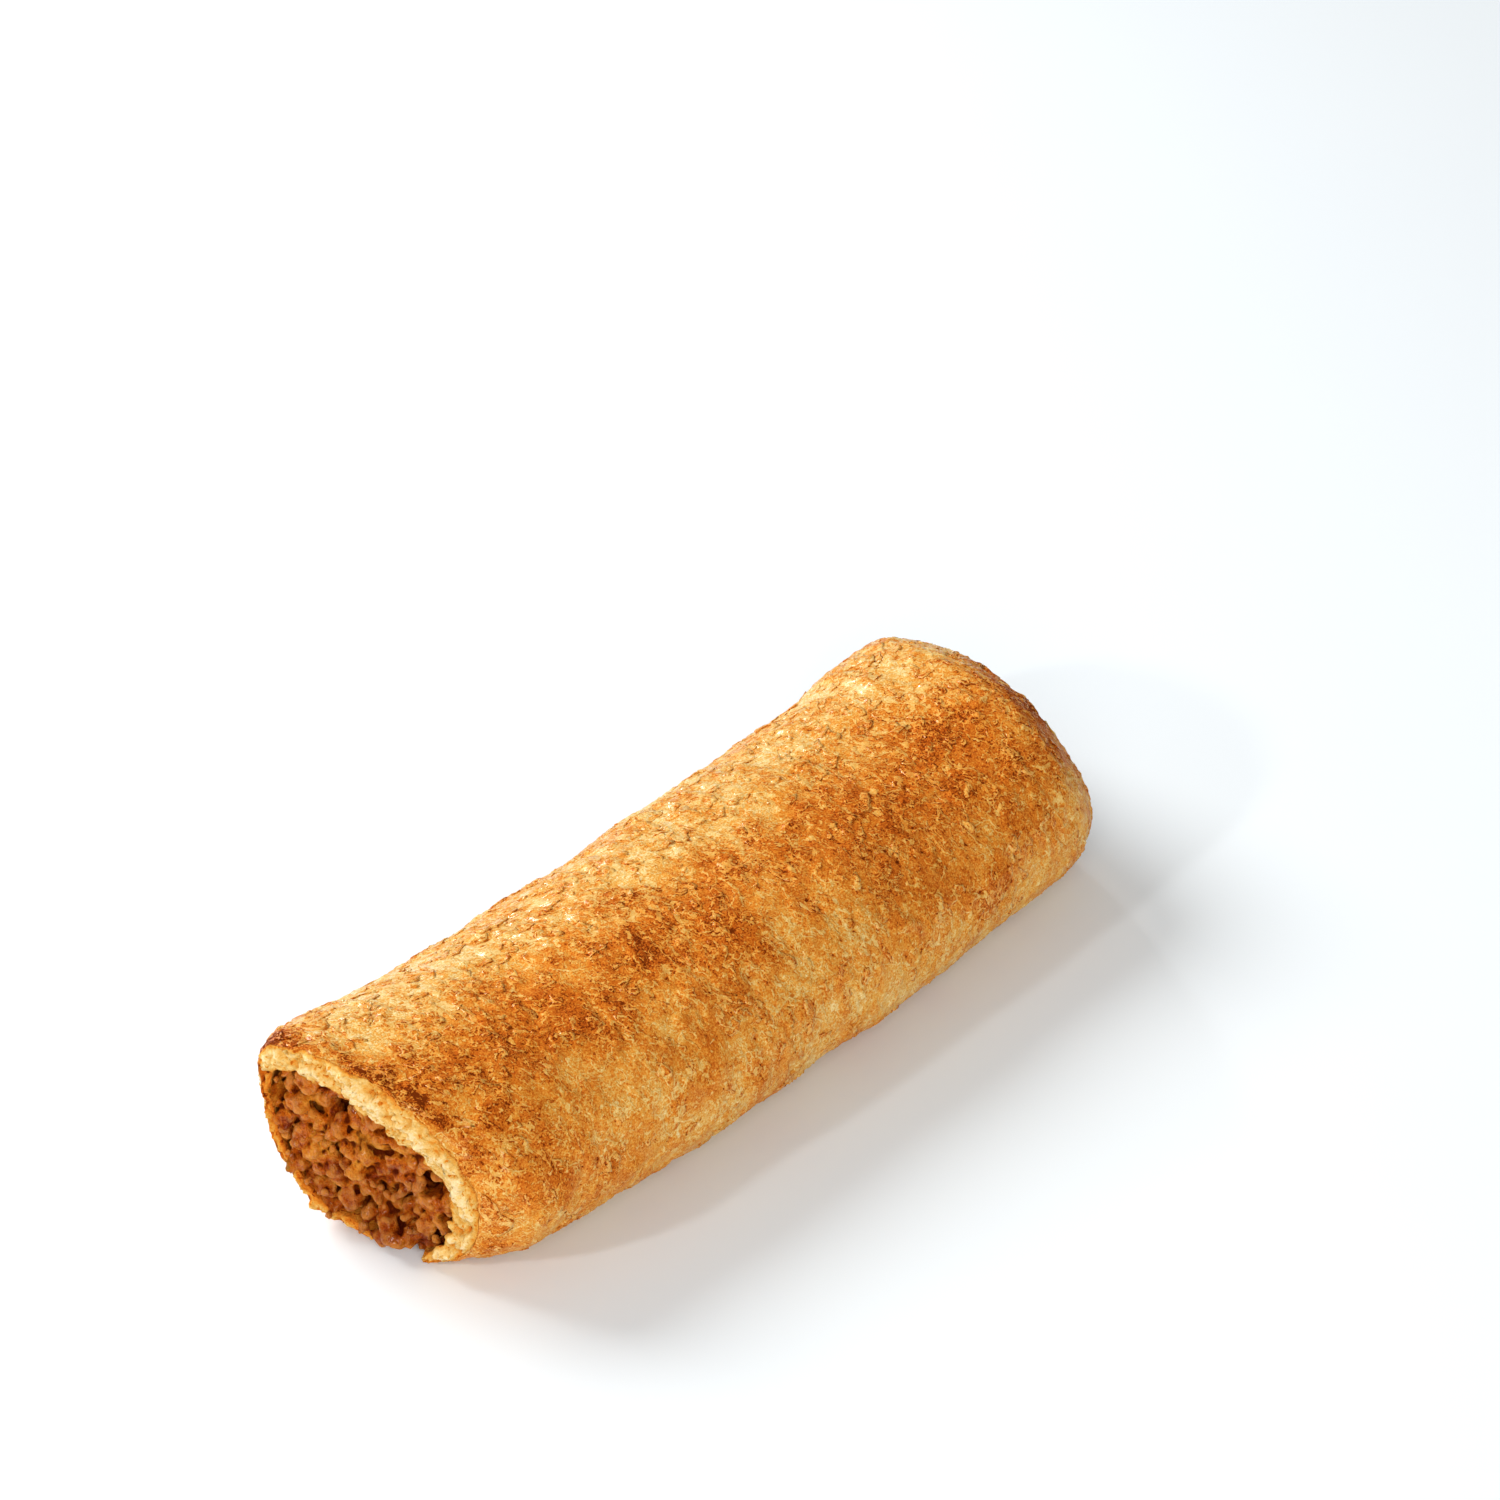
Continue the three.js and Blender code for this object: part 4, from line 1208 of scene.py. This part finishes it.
class Nodes:
    """Short ways to add nodes to a tree and join them."""

    def __init__(self, tree):
        self.tree = tree
        self.count = 0

    def add(self, kind, inputs=None, **settings):
        node = self.tree.nodes.new(kind)
        node.location = (-1400 + 180 * (self.count % 9), 500 - 240 * (self.count // 9))
        self.count += 1
        for name, value in settings.items():
            setattr(node, name, value)
        for name, value in (inputs or {}).items():
            self.feed(node.inputs[name], value)
        return node

    def feed(self, socket, value):
        if isinstance(value, bpy.types.NodeSocket):
            self.tree.links.new(value, socket)
        else:
            socket.default_value = value

    def math(self, operation, *values, clamp=False):
        node = self.add("ShaderNodeMath", operation=operation, use_clamp=clamp)
        for socket, value in zip(node.inputs, values):
            self.feed(socket, value)
        return node.outputs[0]

    def most(self, value, other, strength):
        """The larger of a value and another one times a strength."""
        return self.math("MAXIMUM", value, self.math("MULTIPLY", other, strength))

    def swayed(self, value, noises, sways):
        """A value that each named noise raises and lowers by up to half its amount."""
        for name, amount in sways:
            value = self.math("MULTIPLY_ADD", self.math("SUBTRACT", noises[name], 0.5), amount, value)
        return value

    def attribute(self, name):
        node = self.add("ShaderNodeAttribute", attribute_type="GEOMETRY", attribute_name=name)
        return node.outputs["Fac"]

    def ramp(self, value, low, high, start=0.0, end=1.0):
        """Goes smoothly from start to end as value goes from low to high."""
        return self.add("ShaderNodeMapRange", {
            "Value": value,
            "From Min": low,
            "From Max": high,
            "To Min": start,
            "To Max": end,
        }, interpolation_type="SMOOTHSTEP").outputs[0]

    def line(self, distance, middle, reach, strength=1.0, core=0.05):
        """A soft line where the distance has its middle value."""
        off_line = self.math("ABSOLUTE", self.math("SUBTRACT", distance, middle))
        return self.ramp(off_line, reach, core, 0.0, strength)

    def colours(self, value, stops):
        """Colour of a value, between the colours of its stops."""
        ramp = self.add("ShaderNodeValToRGB", {"Fac": value})
        elements = ramp.color_ramp.elements
        for element, (position, colour) in zip(elements, (stops[0], stops[-1])):
            element.position = position
            element.color = linear(*colour)
        for position, colour in stops[1:-1]:
            elements.new(position).color = linear(*colour)
        return ramp.outputs["Color"]

    def mix(self, factor, first, second, blend="MIX"):
        node = self.add("ShaderNodeMix", data_type="RGBA", blend_type=blend)
        self.feed(node.inputs["Factor"], factor)
        self.feed(node.inputs["A"], first)
        self.feed(node.inputs["B"], second)
        return node.outputs["Result"]

    def texture(self, place, scale, detail=2.0, roughness=0.5, distortion=0.0):
        """Noise from 0 to 1."""
        return self.add("ShaderNodeTexNoise", {
            "Vector": place,
            "Scale": scale,
            "Detail": detail,
            "Roughness": roughness,
            "Distortion": distortion,
        }).outputs[0]

    def noise(self, place, size, *character):
        """Noise from 0 to 1 with grains of this many mm."""
        return self.texture(place, 1 / (size * MM), *character)


def new_group(name, inputs, outputs):
    tree = bpy.data.node_groups.new(name, "ShaderNodeTree")
    for label, kind in inputs:
        tree.interface.new_socket(label, in_out="INPUT", socket_type=kind)
    for label, kind in outputs:
        tree.interface.new_socket(label, in_out="OUTPUT", socket_type=kind)
    nodes = Nodes(tree)
    return tree, nodes, nodes.add("NodeGroupInput"), nodes.add("NodeGroupOutput")


def baked_colour_group():
    """Colour of pastry from how far it is baked, painted shade included: cream, golden, orange brown, dark.
    """
    tree, nodes, given, result = new_group(
        "baked colour", [("Bake", "NodeSocketFloat")], [("Colour", "NodeSocketColor")]
    )
    nodes.feed(result.inputs["Colour"], nodes.colours(given.outputs["Bake"], BAKED_COLOURS))
    return tree


def grain_group():
    """Fine irregular grain of baked food, the same from every side: a coarser and a finer noise."""
    tree, nodes, given, result = new_group(
        "fine grain",
        [("Size", "NodeSocketFloat")],
        [("Coarse", "NodeSocketFloat"), ("Fine", "NodeSocketFloat")],
    )
    place = nodes.add("ShaderNodeTexCoord").outputs["Object"]
    for label, share, detail in (("Coarse", 1.0, 3.0), ("Fine", 0.32, 2.0)):
        scale = nodes.math("DIVIDE", 1 / (share * MM), given.outputs["Size"])
        nodes.feed(result.inputs[label], nodes.texture(place, scale, detail, 0.6))
    return tree


def leaf_group():
    """Thin leaves of pastry: raised islands with rims torn here and there, and a painted shadow beside each
    torn rim.
    """
    tree, nodes, given, result = new_group(
        "pastry leaves",
        [("Place", "NodeSocketVector"), ("Size", "NodeSocketFloat"), ("Level", "NodeSocketFloat"),
         ("Torn", "NodeSocketFloat")],
        [("Height", "NodeSocketFloat"), ("Edge", "NodeSocketFloat"), ("Shadow", "NodeSocketFloat")],
    )
    place = given.outputs["Place"]
    scale = nodes.math("DIVIDE", 1 / MM, given.outputs["Size"])
    leaf = nodes.texture(place, scale, 3.0, 0.55, 0.3)
    over = nodes.math("SUBTRACT", leaf, given.outputs["Level"])
    nodes.feed(result.inputs["Height"], nodes.ramp(over, -0.015, 0.015))
    tear = nodes.texture(place, nodes.math("MULTIPLY", scale, 0.9))
    torn = nodes.ramp(nodes.math("SUBTRACT", tear, given.outputs["Torn"]), -0.01, 0.06)
    edge = nodes.line(over, 0.012, 0.02, core=0.003)
    painted_shadow = nodes.line(over, -0.016, 0.018, core=0.003)
    nodes.feed(result.inputs["Edge"], nodes.math("MULTIPLY", edge, torn))
    nodes.feed(result.inputs["Shadow"], nodes.math("MULTIPLY", painted_shadow, torn))
    return tree


def fleck_group():
    """Small torn bits of the thinnest layer: where they lie, and a shaded side to each."""
    tree, nodes, given, result = new_group(
        "pastry flecks",
        [("Place", "NodeSocketVector"), ("Size", "NodeSocketFloat"), ("Least", "NodeSocketFloat")],
        [("Fleck", "NodeSocketFloat"), ("Shade", "NodeSocketFloat")],
    )
    place = given.outputs["Place"]
    scale = nodes.math("DIVIDE", 1 / MM, given.outputs["Size"])
    beside = nodes.add("ShaderNodeVectorMath", {0: place, 1: SHADE_OFFSET}, operation="ADD").outputs[0]
    masks = []
    for spot in (place, beside):
        over = nodes.math("SUBTRACT", nodes.texture(spot, scale, 3.0, 0.6, 0.4), given.outputs["Least"])
        masks.append(nodes.ramp(over, -0.008, 0.02))
    nodes.feed(result.inputs["Fleck"], masks[0])
    nodes.feed(result.inputs["Shade"], nodes.math("SUBTRACT", masks[1], masks[0], clamp=True))
    return tree


def new_material(name):
    material = bpy.data.materials.new(name)
    material.use_nodes = True
    tree = material.node_tree
    tree.nodes.clear()
    nodes = Nodes(tree)
    shader = nodes.add("ShaderNodeBsdfPrincipled")
    output = nodes.add("ShaderNodeOutputMaterial")
    tree.links.new(shader.outputs[0], output.inputs["Surface"])
    return material, nodes, shader


def crust_noises(nodes, depth, grain):
    """Noises that mottle the crust, by name, and the two places that they are read at."""
    place = nodes.add("ShaderNodeTexCoord").outputs["Object"]
    rolled = nodes.add("ShaderNodeMapping", {"Vector": place, "Scale": ROLLED_STRETCH}).outputs[0]
    noises = {name: nodes.noise(place, *character) for name, character in CRUST_NOISES.items()}
    noises["spots"] = nodes.noise(rolled, *SPOTS)
    mottle = nodes.add("ShaderNodeGroup", {"Size": CRUST_GRAIN}, node_tree=grain).outputs
    noises["coarse"] = mottle["Coarse"]
    noises["fine"] = mottle["Fine"]
    axes = nodes.add("ShaderNodeSeparateXYZ", {"Vector": place}).outputs
    inwards, across, up = LAYER_STRETCH
    layer_place = nodes.add("ShaderNodeCombineXYZ", {
        "X": nodes.math("MULTIPLY", depth, inwards * MM),
        "Y": nodes.math("MULTIPLY", axes["Y"], across),
        "Z": nodes.math("MULTIPLY", axes["Z"], up),
    }).outputs[0]
    noises["layers"] = nodes.noise(layer_place, *LAYERS)
    return noises, place, rolled


def thin_leaves(nodes, bake, height, rolled, flaky, leaves, flecks):
    """Leaves and flecks too thin for the mesh: browning and height with them, torn edges and the painted
    shadows beside them.
    """
    torn_edges = 0.0
    painted_shadows = 0.0
    for size, level, torn, tint, thickness, strength in LEAVES:
        whole = nodes.math("MULTIPLY_ADD", flaky, -0.1, torn)
        given = {"Place": rolled, "Size": size, "Level": level, "Torn": whole}
        leaf = nodes.add("ShaderNodeGroup", given, node_tree=leaves).outputs
        bake = nodes.math("MULTIPLY_ADD", leaf["Height"], tint, bake)
        height = nodes.math("MULTIPLY_ADD", leaf["Height"], thickness, height)
        torn_edges = nodes.most(torn_edges, leaf["Edge"], strength)
        painted_shadows = nodes.most(painted_shadows, leaf["Shadow"], strength)
    for size, least, more, strength in FLECKS:
        given = {"Place": rolled, "Size": size, "Least": nodes.math("MULTIPLY_ADD", flaky, -more, least)}
        fleck = nodes.add("ShaderNodeGroup", given, node_tree=flecks).outputs
        torn_edges = nodes.most(torn_edges, fleck["Fleck"], strength)
        painted_shadows = nodes.most(painted_shadows, fleck["Shade"], strength)
    return bake, height, torn_edges, painted_shadows


def skin_finish(nodes, facts, noises, rolled, leaves, flecks):
    """How far the skin is baked, with painted shade in its hollows, cracks and pits and painted shadow
    beside torn edges, its fine relief, and where the pale torn edges of its layers are.
    """
    flaky = facts["flaky"]
    # painted shade in the skin's hollows
    bake = nodes.math("MULTIPLY_ADD", facts["hollow"], HOLLOW_SHADE, facts["bake"])
    height = nodes.math("MULTIPLY", noises["fine"], FINE_BUMP)
    bake, height, pale, painted_shadow = thin_leaves(nodes, bake, height, rolled, flaky, leaves, flecks)

    bake = nodes.swayed(bake, noises, SKIN_MOTTLING)
    speckle = nodes.math("SUBTRACT", nodes.math("ADD", noises["fine"], noises["jag"]), 1.0)
    bake = nodes.math("MULTIPLY_ADD", nodes.math("MULTIPLY", speckle, flaky), SPECKLE_BAKE, bake)
    torn = nodes.ramp(nodes.math("MULTIPLY_ADD", flaky, FLAKY_TEARING, noises["tear"]), *TORN_LEVELS)
    for name, tint, strength in SHEET_FINISH:
        inside = nodes.swayed(facts[name], noises, SHEET_RAGGEDNESS)
        bake = nodes.math("ADD", bake, nodes.ramp(inside, -0.04, 0.04, -tint, tint))
        pale = nodes.most(pale, nodes.line(inside, *SHEET_LINE, strength), torn)
        painted_shadow = nodes.most(painted_shadow, nodes.line(inside, *SHEET_SHADOW, SHADOW_STRENGTH * strength), torn)
    pale = nodes.most(pale, nodes.line(facts["blister"], *BLISTER_LINE), torn)
    crack = nodes.swayed(facts["crack"], noises, CRACK_RAGGEDNESS)
    pale = nodes.math("MAXIMUM", pale, nodes.line(crack, *CRACK_LINE, core=0.06))
    pit = nodes.ramp(facts["pit"], *PIT_SHADE)
    hole = nodes.math("MAXIMUM", nodes.ramp(crack, *CRACK_OPENING), pit)

    bake = nodes.math("MULTIPLY", bake, nodes.math("MULTIPLY_ADD", pale, -TORN_PALENESS, 1.0))
    # painted shadow beside the torn edges
    bake = nodes.math("MULTIPLY", bake, nodes.math("MULTIPLY_ADD", painted_shadow, TORN_EDGE_SHADOW, 1.0))
    # painted shade in open cracks and pits
    bake = nodes.math("MULTIPLY_ADD", hole, HOLE_SHADE, bake, clamp=True)
    return bake, height, pale


def crumb_finish(nodes, facts, noises, place):
    """How far the cut pastry is baked: thin layers with pores, browner at both sides of a wall, with painted
    shade in the pores and hollows.
    """
    pores = nodes.ramp(nodes.noise(place, *PORES), 0.58, 0.68)
    under_skin = nodes.swayed(facts["depth"], noises, UNDER_SKIN_RAGGEDNESS)
    bake = nodes.ramp(under_skin, 0.0, UNDER_SKIN, *CRUMB_BAKE)
    bake = nodes.math("ADD", bake, nodes.ramp(facts["wall"], *THIN_WALLS, 0.0, THIN_WALL_BAKE))
    bake = nodes.swayed(bake, noises, CRUMB_MOTTLING)
    # painted shade in the pores
    bake = nodes.math("MULTIPLY_ADD", pores, PORE_SHADE, bake)
    # painted shade in the crumb's hollows
    bake = nodes.math("MULTIPLY_ADD", facts["hollow"], CRUMB_HOLLOW_SHADE, bake)
    to_mince = nodes.math("SUBTRACT", facts["wall"], facts["depth"])
    return nodes.math("MULTIPLY_ADD", nodes.ramp(to_mince, 0.8, 0.0), NEXT_TO_MINCE_BAKE, bake, clamp=True)


def egg_wash(nodes, shader, facts, noises, skin_bake_and_shade, pale):
    """Gloss of the brushed skin; crumb and scorched skin are dry."""
    cut = facts["cut"]
    charred = nodes.ramp(skin_bake_and_shade, *SCORCHED)
    roughness = nodes.ramp(noises["coarse"], 0.35, 0.7, *SKIN_ROUGHNESS)
    roughness = nodes.math("MULTIPLY_ADD", nodes.math("MAXIMUM", cut, charred), DRY_ROUGHNESS, roughness)
    nodes.feed(shader.inputs["Roughness"], roughness)
    skin = nodes.math("SUBTRACT", 1.0, cut)
    wash = nodes.math("MULTIPLY", skin, nodes.ramp(noises["cloud"], 0.4, 0.6, *EGG_WASH))
    wash = nodes.math("MULTIPLY_ADD", nodes.math("MULTIPLY", facts["flaky"], pale), FLAKE_GLOSS, wash)
    wash = nodes.math("MULTIPLY", wash, nodes.math("SUBTRACT", 1.0, charred))
    nodes.feed(shader.inputs["Coat Weight"], wash)
    shader.inputs["Coat Roughness"].default_value = 0.18
    shader.inputs["Specular IOR Level"].default_value = 0.12
    shader.inputs["IOR"].default_value = 1.2


def crust_material(baked_colour, grain, leaves, flecks):
    material, nodes, shader = new_material("flaky crust")
    facts = {name: nodes.attribute(name) for name in CRUST_FACTS}
    noises, place, rolled = crust_noises(nodes, facts["depth"], grain)
    skin_bake_and_shade, height, pale = skin_finish(nodes, facts, noises, rolled, leaves, flecks)
    skin = nodes.add("ShaderNodeGroup", {"Bake": skin_bake_and_shade}, node_tree=baked_colour)
    crumb_bake_and_shade = crumb_finish(nodes, facts, noises, place)
    crumb = nodes.add("ShaderNodeGroup", {"Bake": crumb_bake_and_shade}, node_tree=baked_colour)
    warm_crumb = nodes.mix(1.0, crumb.outputs["Colour"], linear(*CRUMB_TINT), "MULTIPLY")
    nodes.feed(shader.inputs["Base Color"], nodes.mix(facts["cut"], skin.outputs["Colour"], warm_crumb))
    egg_wash(nodes, shader, facts, noises, skin_bake_and_shade, pale)

    height = nodes.math("MULTIPLY_ADD", pale, EDGE_BUMP, height)
    for name, amount in CRUST_BUMPS:
        height = nodes.math("MULTIPLY_ADD", noises[name], amount, height)
    crumbly = nodes.math("MULTIPLY_ADD", noises["fine"], 0.9, noises["coarse"])
    crumbly = nodes.math("MULTIPLY_ADD", noises["layers"], 0.5, crumbly)
    height = nodes.math("MULTIPLY_ADD", crumbly, nodes.math("MULTIPLY", facts["cut"], CRUMB_BUMP), height)
    bump = nodes.add("ShaderNodeBump", {"Height": height, "Distance": MM, "Strength": 0.8})
    nodes.feed(shader.inputs["Normal"], bump.outputs[0])
    return material


def mince_material(grain):
    material, nodes, shader = new_material("cooked mince")
    crevice = nodes.attribute("crevice")
    place = nodes.add("ShaderNodeTexCoord").outputs["Object"]
    crumbs = nodes.add("ShaderNodeGroup", {"Size": MINCE_GRAIN_SIZE}, node_tree=grain).outputs
    coarse = crumbs["Coarse"]
    fine = crumbs["Fine"]
    noises = {"meatiness": nodes.noise(place, *MEATINESS), "coarse": coarse, "fine": fine}
    colour = nodes.colours(nodes.swayed(0.5, noises, MINCE_TONES), MINCE_COLOURS)
    height_up = nodes.add("ShaderNodeSeparateXYZ", {"Vector": place}).outputs["Z"]
    colour = nodes.mix(nodes.ramp(height_up, *JUICE_RISE), colour, linear(*JUICE_COLOUR))
    # painted shade in the crevices
    colour = nodes.mix(nodes.ramp(crevice, *CREVICE_SHADE), colour, linear(*CREVICE_SHADE_COLOUR))
    # painted light on the crests
    colour = nodes.mix(nodes.ramp(crevice, *CREST_LIGHT), colour, linear(*CREST_LIGHT_COLOUR))
    nodes.feed(shader.inputs["Base Color"], colour)
    nodes.feed(shader.inputs["Roughness"], nodes.ramp(coarse, 0.35, 0.7, *MINCE_ROUGHNESS))
    juicy = nodes.math("MULTIPLY", nodes.ramp(fine, 0.52, 0.58), nodes.ramp(crevice, 0.15, -0.1))
    nodes.feed(shader.inputs["Coat Weight"], juicy)
    shader.inputs["Coat Roughness"].default_value = 0.07
    shader.inputs["Specular IOR Level"].default_value = 0.08
    shader.inputs["IOR"].default_value = 1.25
    shader.inputs["Subsurface Weight"].default_value = 0.08
    shader.inputs["Subsurface Radius"].default_value = (0.9, 0.3, 0.12)
    shader.inputs["Subsurface Scale"].default_value = 0.0015
    height = nodes.math("MULTIPLY_ADD", fine, 0.5, nodes.math("MULTIPLY", coarse, 0.44))
    bump = nodes.add("ShaderNodeBump", {"Height": height, "Distance": MM, "Strength": 1.0})
    nodes.feed(shader.inputs["Normal"], bump.outputs[0])
    return material


# ---------------------------------------------------------------------------------------------
# Scene
# ---------------------------------------------------------------------------------------------

def add_piece(name, points, faces, attributes, material, node, slot):
    mesh = bpy.data.meshes.new(name)
    mesh.from_pydata((points * MM).tolist(), [], list(map(list, faces)))
    mesh.polygons.foreach_set("use_smooth", [True] * len(mesh.polygons))
    for label, values in attributes.items():
        layer = mesh.attributes.new(label, "FLOAT", "POINT")
        layer.data.foreach_set("value", np.ascontiguousarray(values, np.float32).ravel())
    mesh.materials.append(material)
    piece = bpy.data.objects.new(name, mesh)
    bpy.context.scene.collection.objects.link(piece)
    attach(piece, "root")
    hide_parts(node)
    return piece


def add_floor():
    mesh = bmesh.new()
    bmesh.ops.create_grid(mesh, x_segments=2, y_segments=2, size=3)
    data = bpy.data.meshes.new("floor")
    mesh.to_mesh(data)
    mesh.free()
    material, nodes, shader = new_material("pale floor")
    place = nodes.add("ShaderNodeTexCoord").outputs["Object"]
    cooler, warmer = (linear(*colour) for colour in FLOOR_COLOURS)
    nodes.feed(shader.inputs["Base Color"], nodes.mix(nodes.noise(place, 120), cooler, warmer))
    shader.inputs["Roughness"].default_value = 0.9
    shader.inputs["Specular IOR Level"].default_value = 0.1
    data.materials.append(material)
    floor = bpy.data.objects.new("floor", data)
    bpy.context.scene.collection.objects.link(floor)


def direction(azimuth, elevation):
    """Unit vector from the roll: azimuth 0 is -Y and 90 is +X."""
    a = math.radians(azimuth)
    e = math.radians(elevation)
    return Vector((math.sin(a) * math.cos(e), -math.cos(a) * math.cos(e), math.sin(e)))


def add_light(name, azimuth, elevation, distance, size, power, colour):
    light = bpy.data.lights.new(name, "AREA")
    light.shape = "DISK"
    light.size = size
    light.energy = power
    light.color = colour
    lamp = bpy.data.objects.new(name, light)
    towards = direction(azimuth, elevation)
    lamp.location = towards * distance
    lamp.rotation_mode = "QUATERNION"
    lamp.rotation_quaternion = towards.to_track_quat("Z", "Y")
    bpy.context.scene.collection.objects.link(lamp)


def add_camera():
    azimuth, elevation = CAMERA_VIEW
    back = direction(azimuth, elevation)
    right = Vector((math.cos(math.radians(azimuth)), math.sin(math.radians(azimuth)), 0))
    up = back.cross(right)
    data = bpy.data.cameras.new("camera")
    data.lens = CAMERA_LENS
    data.sensor_width = 36
    data.clip_start = 0.01
    camera = bpy.data.objects.new("camera", data)
    to_right, upwards, backwards = CAMERA_PLACE
    camera.location = back * backwards + right * to_right + up * upwards + Vector(MIDDLE * MM)
    camera.rotation_mode = "QUATERNION"
    camera.rotation_quaternion = Matrix((right, up, back)).transposed().to_quaternion()
    bpy.context.scene.collection.objects.link(camera)
    bpy.context.scene.camera = camera


def add_world():
    world = bpy.data.worlds.new("studio")
    world.use_nodes = True
    background = world.node_tree.nodes["Background"]
    background.inputs["Color"].default_value = SKY_COLOUR
    background.inputs["Strength"].default_value = SKY_STRENGTH
    bpy.context.scene.world = world


baked_colour = baked_colour_group()
grain = grain_group()
leaves = leaf_group()
flecks = fleck_group()
crust_finish = crust_material(baked_colour, grain, leaves, flecks)
crust, flakes = build_crust()
add_piece("crust", *crust, crust_finish, "pastry", "pastry")
add_piece("flakes", *flakes, crust_finish, "pastry", "pastry")
add_piece("mince", *build_mince(), mince_material(grain), "filling", "mince")
add_floor()
add_world()
for light in LIGHTS:
    add_light(*light)
add_camera()
bpy.context.scene.view_settings.view_transform = "Standard"
